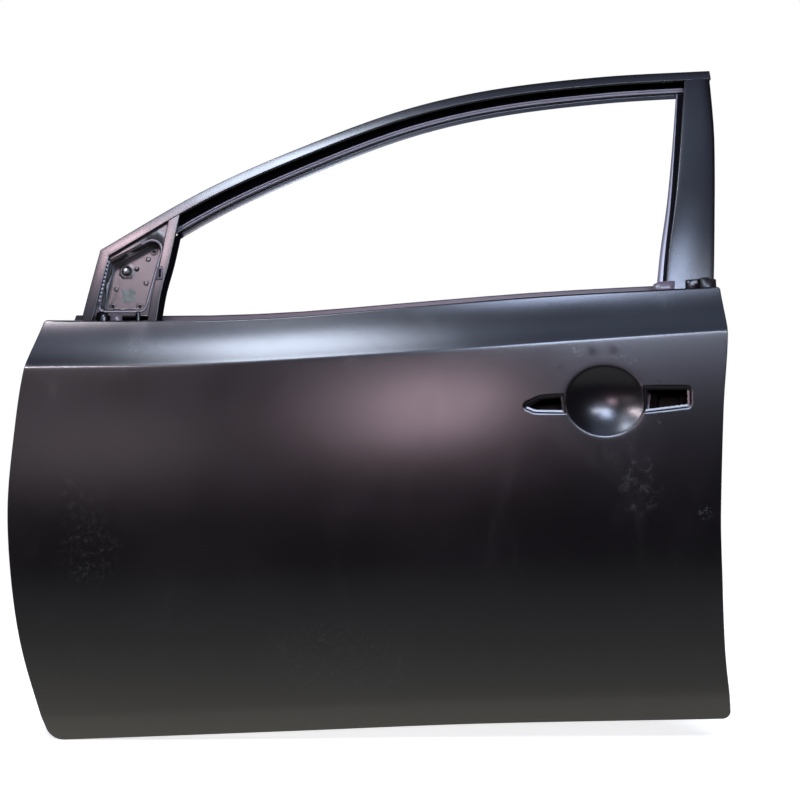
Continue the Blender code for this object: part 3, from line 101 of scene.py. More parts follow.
class Slot(Enum):
    """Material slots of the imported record."""

    PRIMER = "black_primer"
    STEEL = "plated_steel"


class Coat(Enum):
    """How the dark primer lies on a group of pieces; some coats paint in light or shade."""

    PANEL = "primer_outer_panel"
    FRAME = "primer_window_frame"
    # Near-black, low-sheen primer: painted shade in the run channels, behind the handle holes and in the
    # clip's slot.
    PAINTED_SHADE = "primer_painted_shade"
    DISH = "primer_mirror_dish"
    INNER = "primer_inner_structure"
    # Pale primer: painted highlight on the channels' beads and catch edge, the mirror frame's ridge and the
    # mirror leg's welds.
    PAINTED_HIGHLIGHT = "primer_painted_highlight"
    # Reddish primer, lighter than the rest: painted warm reflection on the inner belt reinforcement and
    # some foot plates.
    PAINTED_WARM_REFLECTION = "primer_painted_warm_reflection"


class Curve:
    """Smooth curve through (place, height) knots, for one value or a whole array."""

    def __init__(self, knots: Sequence[Flat]) -> None:
        """Stores the knots and their slopes.

        Args:
            knots: (place, height) pairs in rising order of place.
        """
        self.at = np.array([k[0] for k in knots])
        self.value = np.array([k[1] for k in knots])
        low = np.maximum(np.arange(len(knots)) - 1, 0)
        high = np.minimum(np.arange(len(knots)) + 1, len(knots) - 1)
        self.slope = (self.value[high] - self.value[low]) / (self.at[high] - self.at[low])

    def __call__(self, place: np.ndarray) -> np.ndarray:
        """Evaluates the curve.

        Args:
            place: Where to read the curve.

        Returns:
            The height at each place, straight beyond both ends.
        """
        place = np.asarray(place, dtype=float)
        inner = np.clip(place, self.at[0], self.at[-1])
        i = np.clip(np.searchsorted(self.at, inner, side="right") - 1, 0, len(self.at) - 2)
        span = self.at[i + 1] - self.at[i]
        t = (inner - self.at[i]) / span
        height = (self.value[i] * (1 + 2 * t) * (1 - t) ** 2 + self.slope[i] * span * t * (1 - t) ** 2
                  + self.value[i + 1] * t * t * (3 - 2 * t) + self.slope[i + 1] * span * t * t * (t - 1))
        over = place - inner
        return height + over * np.where(over < 0, self.slope[0], self.slope[-1])


def soft_max(a: np.ndarray, b: np.ndarray, width: float) -> np.ndarray:
    """Larger of two values with a rounded change-over."""
    return 0.5 * (a + b + np.sqrt((a - b) ** 2 + width ** 2))


def soft_step(t: np.ndarray) -> np.ndarray:
    """Smooth rise from 0 to 1."""
    t = np.clip(t, 0.0, 1.0)
    return t * t * t * (t * (6 * t - 15) + 10)


@dataclass(frozen=True)
class DoorSizes:
    """Sizes of the outer panel on the door's grid."""

    front_edge: Tuple[Flat, ...] = ((-0.140, 0.006), (-0.030, -0.022), (0.070, -0.036), (0.190, -0.042),
                                    (0.300, -0.034), (0.416, -0.019), (0.495, 0.006))
    rear_edge: Tuple[Flat, ...] = ((-0.140, 1.094), (-0.030, 1.079), (0.110, 1.071), (0.190, 1.069),
                                   (0.350, 1.074), (0.471, 1.083), (0.545, 1.078))
    bottom_edge: Tuple[Flat, ...] = ((0.020, -0.181), (0.400, -0.162), (0.700, -0.148), (1.094, -0.139))
    belt_line: Tuple[Flat, ...] = ((0.000, 0.4900), (0.250, 0.4890), (0.400, 0.4945), (0.570, 0.5080),
                                   (0.810, 0.5270), (1.080, 0.5410))
    crease_line: Tuple[Flat, ...] = ((-0.020, 0.4150), (0.250, 0.4185), (0.570, 0.4360),
                                     (0.820, 0.4530), (1.083, 0.4710))
    front_foot: Tuple[float, float, float] = (0.018, -0.181, 0.030)
    rear_foot: Tuple[float, float, float] = (1.094, -0.139, 0.012)
    top_radius: float = 0.008
    plan_drop: float = 0.036
    barrel: float = 0.080
    widest_at: float = 0.42
    shoulder_lean: float = 0.65
    shoulder_scoop: float = 2.78
    crease_round: float = 0.0011
    sill_at: float = 0.93
    sill_tuck: float = 0.27
    sill_round: float = 0.0015
    hem_radius: float = 0.0017
    hem_lip: float = 0.010
    belt_bend: float = 0.003
    belt_flange: float = 0.009
    gauge: float = 0.0008
    frame_step: float = 0.014
    frame_lean: float = 0.20
    frame_curve: float = 0.40


@dataclass(frozen=True)
class HandleSizes:
    """Sizes of the handle bowl and of the stepped seats on both sides of it."""

    bowl_x: float = 0.891
    bowl_z: float = 0.360
    bowl_length: float = 0.122
    bowl_height: float = 0.108
    bowl_depth: float = 0.018
    bowl_round: float = 0.0015
    land: float = 0.0020
    rear_land: float = -0.0042
    rim: float = 0.0020
    rim_fall: float = 0.26
    depth: float = 0.0024
    wall: float = 0.0016
    ledge: float = 0.0027
    ledge_fall: float = 0.20
    hole_wave: float = 0.0010
    rough_front: float = 0.835
    rough_length: float = 0.012
    rough_rear: float = 0.985
    front_reach: float = 0.066
    front_top: float = 0.0135
    front_bottom: float = 0.0213
    tip_shoulder: float = 0.026
    tip_heel: float = 0.018
    rear_reach: float = 0.074
    rear_top: float = 0.0250
    rear_bottom: float = 0.0205
    rear_taper: float = 0.0095

    def bowl_side(self, rise: float) -> float:
        """Half length of the bowl at a height."""
        return self.bowl_length / 2 * math.sqrt(max(1 - (2 * rise / self.bowl_height) ** 2, 0.0))

    def ring(self, scale: float, sides: int) -> List[Flat]:
        """Outline of the bowl or of a ring that shares its middle.

        Args:
            scale: Size against the bowl's rim.
            sides: Number of points.

        Returns:
            The ring's points.
        """
        turns = [2 * math.pi * k / sides for k in range(sides)]
        return [(self.bowl_x + scale * self.bowl_length / 2 * math.cos(a),
                 self.bowl_z + scale * self.bowl_height / 2 * math.sin(a)) for a in turns]

    def front_seat(self) -> List[Tuple[float, float, float]]:
        """Corners of the pointed front seat.

        Returns:
            (x, z, radius) corners, counter-clockwise.
        """
        near_top = self.bowl_x - self.bowl_side(self.front_top) - self.land
        near_low = self.bowl_x - self.bowl_side(self.front_bottom) - self.land
        tip = self.bowl_x - self.bowl_length / 2 - self.front_reach
        low = self.bowl_z - self.front_bottom
        return [(near_top, self.bowl_z + self.front_top, 0.002),
                (tip + self.tip_shoulder, self.bowl_z + self.front_top * 0.73, 0.030),
                (tip, self.bowl_z - self.front_bottom * 0.10, 0.007),
                (tip, self.bowl_z - self.front_bottom * 0.62, 0.008),
                (tip + self.tip_heel, low + 0.0008, 0.018), (near_low, low, 0.002)]

    def rear_seat(self) -> List[Tuple[float, float, float]]:
        """Corners of the rounded rear seat.

        Returns:
            (x, z, radius) corners, counter-clockwise.
        """
        near = self.bowl_x + self.bowl_length / 2 + self.rear_land
        far = self.bowl_x + self.bowl_length / 2 + self.rear_reach
        return [(far, self.bowl_z + self.rear_top, 0.009), (near, self.bowl_z + self.rear_top, 0.002),
                (near, self.bowl_z - self.rear_bottom, 0.002),
                (far, self.bowl_z - self.rear_bottom + self.rear_taper, 0.009)]


class Outline:
    """Flat outline tools: rounding, insetting and distance."""

    @staticmethod
    def rounded(corners: Sequence[Sequence], steps: int = 8) -> List[Tuple[float, float, str]]:
        """Turns corners into arcs.

        Args:
            corners: (x, z), (x, z, radius) or (x, z, radius, kind) corners.
            steps: Steps of each arc.

        Returns:
            (x, z, kind) points.
        """
        points = []
        for i, corner in enumerate(corners):
            here = Vector(corner[:2])
            back = Vector(corners[i - 1][:2]) - here
            ahead = Vector(corners[(i + 1) % len(corners)][:2]) - here
            kind = corner[3] if len(corner) > 3 else ""
            radius = corner[2] if len(corner) > 2 else 0.0
            if radius <= 0.0:
                points.append((here.x, here.y, kind))
                continue
            half = back.angle(ahead) / 2
            reach = min(radius / math.tan(half), 0.48 * back.length, 0.48 * ahead.length)
            radius = reach * math.tan(half)
            split = (back.normalized() + ahead.normalized()).normalized()
            middle = here + split * radius / math.sin(half)
            first = here + back.normalized() * reach - middle
            last = here + ahead.normalized() * reach - middle
            start = math.atan2(first.y, first.x)
            turn = -first.angle_signed(last)
            for k in range(steps + 1):
                angle = start + turn * k / steps
                points.append((middle.x + radius * math.cos(angle), middle.y + radius * math.sin(angle),
                               kind))
        return points

    @staticmethod
    def inset(outline: Sequence[Sequence], distance: Union[float, List[float]]) -> List[Flat]:
        """Moves a counter-clockwise outline inwards.

        Args:
            outline: The outline's points.
            distance: One distance, or one for each point.

        Returns:
            The moved points.
        """
        moved = []
        for i, point in enumerate(outline):
            here = Vector(point[:2])
            before = (here - Vector(outline[i - 1][:2])).normalized()
            after = (Vector(outline[(i + 1) % len(outline)][:2]) - here).normalized()
            left = Vector((-before.y, before.x))
            split = (left + Vector((-after.y, after.x))).normalized()
            step = distance[i] if isinstance(distance, list) else distance
            moved.append(tuple(here + split * step / max(split.dot(left), 0.5)))
        return moved

    @staticmethod
    def shrunk(corners: Sequence[Sequence], distance: float, steps: int = 8) -> List[Flat]:
        """Rounded outline moved inwards with smaller corner radii.

        Args:
            corners: (x, z, radius) corners.
            distance: How far inwards.
            steps: Steps of each arc.

        Returns:
            The outline's points.
        """
        moved = Outline.inset(corners, distance)
        smaller = [(x, z, max(c[2] - distance, 0.001)) for (x, z), c in zip(moved, corners)]
        return [p[:2] for p in Outline.rounded(smaller, steps)]

    @staticmethod
    def stepped(outline: Sequence[Flat], spacing: float) -> List[Flat]:
        """Divides the long sides of an outline.

        Args:
            outline: The outline's points.
            spacing: Longest side that is kept.

        Returns:
            The divided outline.
        """
        divided = []
        for here, there in zip(outline, [*outline[1:], outline[0]]):
            parts = max(math.ceil(math.dist(here[:2], there[:2]) / spacing), 1)
            for k in range(parts):
                t = k / parts
                divided.append((here[0] + (there[0] - here[0]) * t, here[1] + (there[1] - here[1]) * t))
        return divided

    @staticmethod
    def depth_inside(outline: Sequence[Flat], x: np.ndarray, z: np.ndarray) -> np.ndarray:
        """Distance to an outline, positive inside it.

        Args:
            outline: A closed outline.
            x: Places along the door.
            z: Levels.

        Returns:
            The signed distances.
        """
        best = np.full(np.shape(x), 1e9)
        hit = np.zeros(np.shape(x), dtype=bool)
        for i, there in enumerate(outline):
            here = outline[i - 1]
            dx, dz = there[0] - here[0], there[1] - here[1]
            t = np.clip(((x - here[0]) * dx + (z - here[1]) * dz) / (dx * dx + dz * dz + 1e-18), 0, 1)
            best = np.minimum(best, np.hypot(x - here[0] - t * dx, z - here[1] - t * dz))
            if here[1] != there[1]:
                crossing = (here[1] > z) != (there[1] > z)
                hit ^= crossing & (x < here[0] + (z - here[1]) * dx / dz)
        return np.where(hit, best, -best)


class DoorForm:
    """The door's surfaces as depth over the grid."""

    def __init__(self, sizes: DoorSizes, handle: HandleSizes) -> None:
        """Prepares the curves and the handle's outlines.

        Args:
            sizes: Sizes of the outer panel.
            handle: Sizes of the handle seat.
        """
        self.sizes = sizes
        self.handle = handle
        self.front = Curve(sizes.front_edge)
        self.rear = Curve(sizes.rear_edge)
        self.bottom = Curve(sizes.bottom_edge)
        self.belt = Curve(sizes.belt_line)
        self.crease = Curve(sizes.crease_line)
        self.near = min(x for z, x in sizes.front_edge)
        self.far = max(x for z, x in sizes.rear_edge)
        self.seats = [[p[:2] for p in Outline.rounded(seat)]
                      for seat in (handle.front_seat(), handle.rear_seat())]

    def plan(self, x: np.ndarray) -> np.ndarray:
        """Depth that the door gains towards its leading edge."""
        return self.sizes.plan_drop * ((self.far - x) / (self.far - self.near)) ** 2

    def shoulder(self, rise: np.ndarray) -> np.ndarray:
        """Depth of the scooped shoulder."""
        s = self.sizes
        return s.barrel * s.widest_at ** 2 + s.shoulder_lean * rise - s.shoulder_scoop * rise ** 2

    def skin(self, x: np.ndarray, z: np.ndarray) -> np.ndarray:
        """Depth of the outer panel with rounded crease and sill, without the handle seat.

        Args:
            x: Places along the door.
            z: Levels.

        Returns:
            The depth there.
        """
        s = self.sizes
        crease = self.crease(x)
        height = crease - self.bottom(x)
        fall = (crease - z) / height
        body = s.barrel * (np.maximum(fall, -0.2) - s.widest_at) ** 2
        tuck = s.sill_tuck * (fall - s.sill_at) * height
        body = body + soft_max(tuck, np.zeros_like(tuck), s.sill_round)
        return self.plan(x) + soft_max(body, self.shoulder(z - crease), s.crease_round)

    def pressed(self, x: np.ndarray, z: np.ndarray) -> np.ndarray:
        """Depth of the outer panel with its handle bowl and seats.

        Args:
            x: Places along the door.
            z: Levels.

        Returns:
            The depth there.
        """
        h = self.handle
        reach = ((x - h.bowl_x) / (h.bowl_length / 2)) ** 2 + ((z - h.bowl_z) / (h.bowl_height / 2)) ** 2
        bowl = soft_max(h.bowl_depth * (1 - reach), np.zeros_like(reach), h.bowl_round)
        bowl = np.where(reach < 2.2, bowl, 0.0)
        seat = np.zeros_like(reach)
        near = (np.abs(x - h.bowl_x) < 0.16) & (np.abs(z - h.bowl_z) < 0.06)
        if near.any():
            for outline in self.seats:
                inside = Outline.depth_inside(outline, x, z)
                eased = np.clip(inside, 0.0, h.rim) * h.rim_fall
                floor = np.clip(inside - h.rim - h.wall, 0.0, 0.005) * h.ledge_fall
                step = h.depth * soft_step((inside - h.rim) / h.wall)
                seat = np.maximum(seat, eased + step + floor)
        return self.skin(x, z) + np.maximum(bowl, seat)

    def frame(self, x: np.ndarray, z: np.ndarray) -> np.ndarray:
        """Depth of the window frame's outer face.

        Args:
            x: Places along the door.
            z: Levels.

        Returns:
            The depth there.
        """
        s = self.sizes
        belt = self.belt(x)
        rise = z - belt
        behind = s.frame_step + s.frame_lean * rise + s.frame_curve * rise ** 2
        return self.plan(x) + self.shoulder(belt - self.crease(x)) + behind

    @staticmethod
    def normals(surface: Field, x: np.ndarray, z: np.ndarray, step: float = 0.0003) -> np.ndarray:
        """Unit normals of a surface, pointing into the door.

        Args:
            surface: Depth over the grid.
            x: Places along the door.
            z: Levels.
            step: Half the distance between the compared points.

        Returns:
            One row of three values for each place.
        """
        along = (surface(x + step, z) - surface(x - step, z)) / (2 * step)
        up = (surface(x, z + step) - surface(x, z - step)) / (2 * step)
        found = np.stack([-along, np.ones_like(along), -up], axis=-1)
        return found / np.linalg.norm(found, axis=-1, keepdims=True)

    @staticmethod
    def on(surface: Field, flat: Sequence[Flat]) -> Tuple[np.ndarray, np.ndarray]:
        """Points of a surface above flat places, with its normals.

        Args:
            surface: Depth over the grid.
            flat: (x, z) places.

        Returns:
            The points and the unit inward normals.
        """
        x = np.array([p[0] for p in flat])
        z = np.array([p[1] for p in flat])
        return np.stack([x, surface(x, z), z], axis=-1), DoorForm.normals(surface, x, z)


class Sheet:
    """A fine sheet under construction: a flat drawing with its place and normals in space."""

    def __init__(self, surface: Field) -> None:
        """Starts an empty drawing.

        Args:
            surface: Depth that its points lie on.
        """
        self.surface = surface
        self.flat: List[Flat] = []
        self.edges: List[Tuple[int, int]] = []

    def line(self, flat: Sequence[Flat], closed: bool = True) -> List[int]:
        """Adds a line that the triangles keep to.

        Args:
            flat: The line's points.
            closed: Whether it is a ring.

        Returns:
            The numbers of its points.
        """
        first, count = len(self.flat), len(flat)
        self.flat += [tuple(p[:2]) for p in flat]
        sides = count if closed else count - 1
        self.edges += [(first + i, first + (i + 1) % count) for i in range(sides)]
        return list(range(first, first + count))

    def scatter(self, places: Sequence[Flat], clearance: float) -> None:
        """Adds free points away from every line.

        Args:
            places: Where to put them.
            clearance: Distance kept from the lines.
        """
        lines = np.array([self.flat[n] for edge in self.edges for n in edge])
        for first in range(0, len(places), 400):
            group = np.array(places[first:first + 400])
            gap = np.min(np.hypot(group[:, None, 0] - lines[None, :, 0],
                                  group[:, None, 1] - lines[None, :, 1]), axis=1)
            self.flat += [tuple(p) for p, g in zip(group.tolist(), gap) if g > clearance]

    def cover(self, outer: Sequence[int], holes: Sequence[Sequence[int]]) -> Tuple[np.ndarray, np.ndarray,
                                                                                  List, Dict[int, int]]:
        """Fills the drawing with triangles.

        Args:
            outer: Numbers of the outer line.
            holes: Numbers of each hole's line.

        Returns:
            Points, normals, faces and the new number of each old point.
        """
        found = delaunay_2d_cdt([Vector(p) for p in self.flat], self.edges, [], 0, 1e-7)
        flat = [(p.x, p.y) for p in found[0]]
        points, normals = DoorForm.on(self.surface, flat)
        number = {old: new for new, group in enumerate(found[3]) for old in group}
        mids = np.array([np.mean([flat[n] for n in face], axis=0) for face in found[2]])
        keep = Outline.depth_inside([self.flat[n] for n in outer], mids[:, 0], mids[:, 1]) > 0
        for hole in holes:
            keep &= Outline.depth_inside([self.flat[n] for n in hole], mids[:, 0], mids[:, 1]) < 0
        faces = [tuple(face) for face, kept in zip(found[2], keep) if kept]
        return points, normals, faces, number


class Workshop:
    """Turns drawings into finished pieces on the frame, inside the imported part's box."""

    low, high = (np.array(corner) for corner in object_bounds())

    @staticmethod
    def closed_piece(name: str, points: np.ndarray, normals: np.ndarray, faces: List,
                     gauge: float) -> bpy.types.Object:
        """Makes a thin closed piece from one side of a sheet.

        Args:
            name: Name of the piece.
            points: Points of the side that its faces show.
            normals: Inward normals of those points.
            faces: Faces of that side, in any turn.
            gauge: Thickness of the metal.

        Returns:
            The new object, in world coordinates.
        """
        used = sorted({n for face in faces for n in face})
        place = {old: new for new, old in enumerate(used)}
        front = points[used]
        inward = normals[used]
        count = len(used)
        every = np.concatenate([front, front + inward * gauge]) + np.array(DATUM)
        every = np.clip(every, Workshop.low + 0.00002, Workshop.high - 0.00002)
        shown = []
        for face in faces:
            turned = [place[n] for n in face]
            a, b, c = (front[n] for n in turned[:3])
            if np.dot(np.cross(b - a, c - a), inward[turned[0]]) > 0:
                turned.reverse()
            shown.append(turned)
        edges: Dict[Tuple[int, int], Tuple[int, int]] = {}
        for face in shown:
            for i, start in enumerate(face):
                end = face[(i + 1) % len(face)]
                if (end, start) in edges:
                    del edges[(end, start)]
                else:
                    edges[(start, end)] = (start, end)
        hidden = [[n + count for n in reversed(face)] for face in shown]
        rims = [[b, a, a + count, b + count] for a, b in edges]
        mesh = bpy.data.meshes.new(name)
        mesh.from_pydata(every.tolist(), [], shown + hidden + rims)
        mesh.shade_smooth()
        flow = np.concatenate([-inward, inward])
        loops = np.array([loop.vertex_index for loop in mesh.loops])
        custom = flow[loops]
        rim_loops = sum(len(face) for face in rims)
        if rim_loops:
            custom[-rim_loops:] = 0.0
        mesh.normals_split_custom_set(custom.tolist())
        piece = bpy.data.objects.new(name, mesh)
        bpy.context.scene.collection.objects.link(piece)
        return piece

    @staticmethod
    def turned(name: str, foot: Vector, axis: Vector, profile: Sequence[Flat],
               sides: int = 48) -> bpy.types.Object:
        """Makes a closed turned piece.

        Args:
            name: Name of the piece.
            foot: Where its axis starts, on the grid.
            axis: Direction of its axis.
            profile: (radius, height) steps from one end of the axis to the other.
            sides: Number of sides.

        Returns:
            The new object, in world coordinates.
        """
        axis = axis.normalized()
        across = axis.orthogonal().normalized()
        upright = axis.cross(across)
        points = [foot + DATUM + axis * profile[0][1]]
        for radius, height in profile[1:-1]:
            for k in range(sides):
                angle = 2 * math.pi * k / sides
                points.append(foot + DATUM + axis * height
                              + (across * math.cos(angle) + upright * math.sin(angle)) * radius)
        points.append(foot + DATUM + axis * profile[-1][1])
        rings = len(profile) - 2
        last = len(points) - 1
        faces = []
        for k in range(sides):
            after = (k + 1) % sides
            faces.append((0, 1 + after, 1 + k))
            for j in range(rings - 1):
                a, b = 1 + j * sides, 1 + (j + 1) * sides
                faces.append((a + k, a + after, b + after, b + k))
            end = 1 + (rings - 1) * sides
            faces.append((end + k, end + after, last))
        mesh = bpy.data.meshes.new(name)
        mesh.from_pydata(points, [], faces)
        mesh.shade_smooth()
        mesh.set_sharp_from_angle(angle=math.radians(40))
        piece = bpy.data.objects.new(name, mesh)
        bpy.context.scene.collection.objects.link(piece)
        return piece

    @staticmethod
    def finish(piece: bpy.types.Object, finish: bpy.types.Material, slot: Optional[Slot] = None) -> None:
        """Gives a piece its material, and a new piece its place on the frame.

        Args:
            piece: The object.
            finish: Its material.
            slot: The record's slot, for a new piece.
        """
        piece.data.materials.clear()
        piece.data.materials.append(finish)
        if slot is not None:
            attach(piece, "root")


class Weave:
    """Short hand for building a material's node tree."""

    def __init__(self, name: str) -> None:
        """Starts a material with a Principled shader.

        Args:
            name: Name of the material.
        """
        self.material = bpy.data.materials.new(name)
        self.material.use_nodes = True
        self.tree = self.material.node_tree
        self.shader = self.tree.nodes["Principled BSDF"]
        self.place = self.tree.nodes.new("ShaderNodeTexCoord").outputs["Object"]
        split = self.tree.nodes.new("ShaderNodeSeparateXYZ")
        self.tree.links.new(self.place, split.inputs["Vector"])
        self.forward = split.outputs["Y"]

    def link(self, value: Value, socket: Socket) -> None:
        """Sets a socket from a number, a colour or another socket.

        Args:
            value: What goes in.
            socket: Where it goes.
        """
        if isinstance(value, bpy.types.NodeSocket):
            self.tree.links.new(value, socket)
        else:
            socket.default_value = value

    def math(self, operation: str, a: Value, b: Value = 0.0, clamp: bool = False) -> Socket:
        """Adds a Math node.

        Args:
            operation: The node's operation.
            a: First input.
            b: Second input.
            clamp: Whether the result is cut to 0..1.

        Returns:
            The node's output.
        """
        node = self.tree.nodes.new("ShaderNodeMath")
        node.operation = operation
        node.use_clamp = clamp
        self.link(a, node.inputs[0])
        self.link(b, node.inputs[1])
        return node.outputs[0]

    def stretch(self, scale: Tuple[float, float, float], turn: float = 0.0) -> Socket:
        """Object coordinates scaled along the axes.

        Args:
            scale: Scale for each axis.
            turn: Turn about the depth axis.

        Returns:
            The mapped coordinates.
        """
        node = self.tree.nodes.new("ShaderNodeMapping")
        self.link(self.place, node.inputs["Vector"])
        node.inputs["Scale"].default_value = scale
        node.inputs["Rotation"].default_value = (0.0, turn, 0.0)
        return node.outputs[0]

    def noise(self, scale: float, detail: float = 3.0, rough: float = 0.5,
              vector: Optional[Socket] = None, distort: float = 0.0) -> Socket:
        """Adds a Noise texture.

        Args:
            scale: Its scale.
            detail: Its detail.
            rough: Its roughness.
            vector: Coordinates, or the object's own.
            distort: Its distortion.

        Returns:
            The noise value.
        """
        node = self.tree.nodes.new("ShaderNodeTexNoise")
        self.link(vector or self.place, node.inputs["Vector"])
        node.inputs["Scale"].default_value = scale
        node.inputs["Detail"].default_value = detail
        node.inputs["Roughness"].default_value = rough
        node.inputs["Distortion"].default_value = distort
        return node.outputs["Fac"]

    def cells(self, scale: float) -> Tuple[Socket, Socket]:
        """Adds a Voronoi texture.

        Args:
            scale: Its scale.

        Returns:
            The distance and the cell colour.
        """
        node = self.tree.nodes.new("ShaderNodeTexVoronoi")
        self.link(self.place, node.inputs["Vector"])
        node.inputs["Scale"].default_value = scale
        return node.outputs["Distance"], node.outputs["Color"]

    def band(self, value: Value, low: float, high: float, out_low: float = 0.0,
             out_high: float = 1.0) -> Socket:
        """Maps a value from one range to another, eased and cut to the range.

        Args:
            value: What to map.
            low: Start of the range.
            high: End of the range.
            out_low: Result at the start.
            out_high: Result at the end.

        Returns:
            The mapped value.
        """
        node = self.tree.nodes.new("ShaderNodeMapRange")
        node.interpolation_type = "SMOOTHSTEP"
        self.link(value, node.inputs["Value"])
        node.inputs["From Min"].default_value = low
        node.inputs["From Max"].default_value = high
        node.inputs["To Min"].default_value = out_low
        node.inputs["To Max"].default_value = out_high
        return node.outputs["Result"]

    def near(self, centre: Flat, size: Flat, turn: float = 0.0) -> Socket:
        """Soft oval mask at a place of the door.

        Args:
            centre: World X and Z of its middle.
            size: Half length and half height.
            turn: Turn of the oval.

        Returns:
            1 at the middle, falling to 0 at the edge.
        """
        shift = self.tree.nodes.new("ShaderNodeVectorMath")
        shift.operation = "SUBTRACT"
        self.link(self.place, shift.inputs[0])
        shift.inputs[1].default_value = (centre[0], 0.0, centre[1])
        node = self.tree.nodes.new("ShaderNodeMapping")
        self.link(shift.outputs[0], node.inputs["Vector"])
        node.inputs["Rotation"].default_value = (0.0, turn, 0.0)
        node.inputs["Scale"].default_value = (1 / size[0], 0.0, 1 / size[1])
        length = self.tree.nodes.new("ShaderNodeVectorMath")
        length.operation = "LENGTH"
        self.link(node.outputs[0], length.inputs[0])
        return self.band(length.outputs["Value"], 1.0, 0.55)

    def mix(self, amount: Value, first: Value, second: Value) -> Socket:
        """Mixes two colours.

        Args:
            amount: Share of the second.
            first: First colour.
            second: Second colour.

        Returns:
            The mixed colour.
        """
        node = self.tree.nodes.new("ShaderNodeMix")
        node.data_type = "RGBA"
        self.link(amount, node.inputs[0])
        self.link(first, node.inputs[6])
        self.link(second, node.inputs[7])
        return node.outputs[2]

    def bump(self, height: Value, distance: float, under: Optional[Socket] = None) -> Socket:
        """Adds a Bump node.

        Args:
            height: The height value.
            distance: Depth of the relief.
            under: A bump below it.

        Returns:
            The normal.
        """
        node = self.tree.nodes.new("ShaderNodeBump")
        node.inputs["Strength"].default_value = 1.0
        node.inputs["Distance"].default_value = distance
        self.link(height, node.inputs["Height"])
        if under is not None:
            self.link(under, node.inputs["Normal"])
        return node.outputs["Normal"]


@dataclass(frozen=True)
class Mark:
    """One worn or dusty place on the primer."""

    centre: Flat
    size: Flat
    grain: float
    amount: float
    turn: float = 0.0


@dataclass(frozen=True)
class PrimerFinish:
    """Dark dip primer with its orange peel, dust, smears and rub marks."""

    coat: Coat
    colour: Tuple[float, float, float] = (0.0028, 0.0021, 0.0025)
    dust_colour: Tuple[float, float, float] = (0.20, 0.195, 0.185)
    gloss: float = 0.225
    sheen: float = 0.5
    dust: float = 0.35
    peel: float = 0.000035
    marks: Tuple[Mark, ...] = ()

    def build(self) -> bpy.types.Material:
        """Makes the material.

        Returns:
            The finished material.
        """
        w = Weave(self.coat.value)
        cloud = w.noise(3.2, 4.0, 0.55)
        smear = w.noise(9.0, 5.0, 0.6, w.stretch((1.0, 1.0, 0.45), 0.25), 0.8)
        film = w.band(smear, 0.52, 0.78)
        peel = w.noise(520.0, 2.0, 0.45)
        grain = w.noise(2600.0, 2.0, 0.5)
        distance, cell = w.cells(310.0)
        chosen = w.band(cell, 0.80, 0.97)
        fleck = w.math("MULTIPLY", w.band(distance, 0.16, 0.05), chosen)
        fleck = w.math("MULTIPLY", fleck, w.band(w.noise(7.0, 3.0, 0.6), 0.42, 0.66))
        hair = w.noise(1.0, 2.0, 0.5, w.stretch((9.0, 9.0, 900.0), 0.35))
        scratch = w.math("MULTIPLY", w.band(hair, 0.735, 0.80),
                         w.band(w.noise(5.0, 2.0, 0.5), 0.55, 0.68))
        worn = w.math("MULTIPLY", film, 0.030 * self.dust)
        for mark in self.marks:
            patch = w.band(w.noise(mark.grain, 6.0, 0.7, None, 0.6), 0.50, 0.68)
            area = w.near(mark.centre, mark.size, mark.turn)
            here = w.math("MULTIPLY", patch, w.math("MULTIPLY", area, mark.amount))
            worn = w.math("ADD", worn, here)
        worn = w.math("ADD", worn, w.math("MULTIPLY", fleck, 0.9 * self.dust))
        worn = w.math("ADD", worn, w.math("MULTIPLY", scratch, 0.10 * self.dust), True)
        tone = w.mix(w.band(cloud, 0.35, 0.70), (*[c * 0.86 for c in self.colour], 1.0),
                     (*[c * 1.18 for c in self.colour], 1.0))
        w.link(w.mix(worn, tone, (*self.dust_colour, 1.0)), w.shader.inputs["Base Color"])
        rough = w.math("ADD", w.band(cloud, 0.3, 0.7, self.gloss - 0.02, self.gloss + 0.03),
                       w.math("MULTIPLY", film, 0.05))
        rough = w.math("ADD", rough, w.math("MULTIPLY", worn, 0.55), True)
        w.link(rough, w.shader.inputs["Roughness"])
        normal = w.bump(peel, self.peel)
        w.link(w.bump(grain, self.peel * 0.25, normal), w.shader.inputs["Normal"])
        w.shader.inputs["Specular IOR Level"].default_value = self.sheen
        return w.material


@dataclass(frozen=True)
class SteelFinish:
    """Plated steel of the nuts and the stud."""

    name: str
    colour: Tuple[float, float, float] = (0.46, 0.45, 0.42)
    gloss: float = 0.34
    metallic: float = 0.9

    def build(self) -> bpy.types.Material:
        """Makes the material.

        Returns:
            The finished material.
        """
        w = Weave(self.name)
        stain = w.noise(140.0, 4.0, 0.6)
        turned = w.noise(1.0, 2.0, 0.5, w.stretch((400.0, 400.0, 1600.0)))
        dark = (*[c * 0.62 for c in self.colour], 1.0)
        w.link(w.mix(w.band(stain, 0.42, 0.68), (*self.colour, 1.0), dark), w.shader.inputs["Base Color"])
        rough = w.band(stain, 0.3, 0.7, self.gloss - 0.06, self.gloss + 0.12)
        w.link(rough, w.shader.inputs["Roughness"])
        w.link(w.bump(turned, 0.00004), w.shader.inputs["Normal"])
        w.shader.inputs["Metallic"].default_value = self.metallic
        return w.material


@dataclass(frozen=True)
class PadFinish:
    """Pale paper-like pad with a soiled face."""

    name: str
    colour: Tuple[float, float, float] = (0.10, 0.115, 0.098)

    def build(self) -> bpy.types.Material:
        """Makes the material.

        Returns:
            The finished material.
        """
        w = Weave(self.name)
        fibre = w.noise(900.0, 4.0, 0.6)
        soil = w.noise(160.0, 3.0, 0.5)
        low = (*[c * 0.55 for c in self.colour], 1.0)
        w.link(w.mix(w.band(soil, 0.35, 0.65), low, (*self.colour, 1.0)), w.shader.inputs["Base Color"])
        w.link(w.band(fibre, 0.3, 0.7, 0.62, 0.80), w.shader.inputs["Roughness"])
        w.link(w.bump(fibre, 0.00006), w.shader.inputs["Normal"])
        return w.material


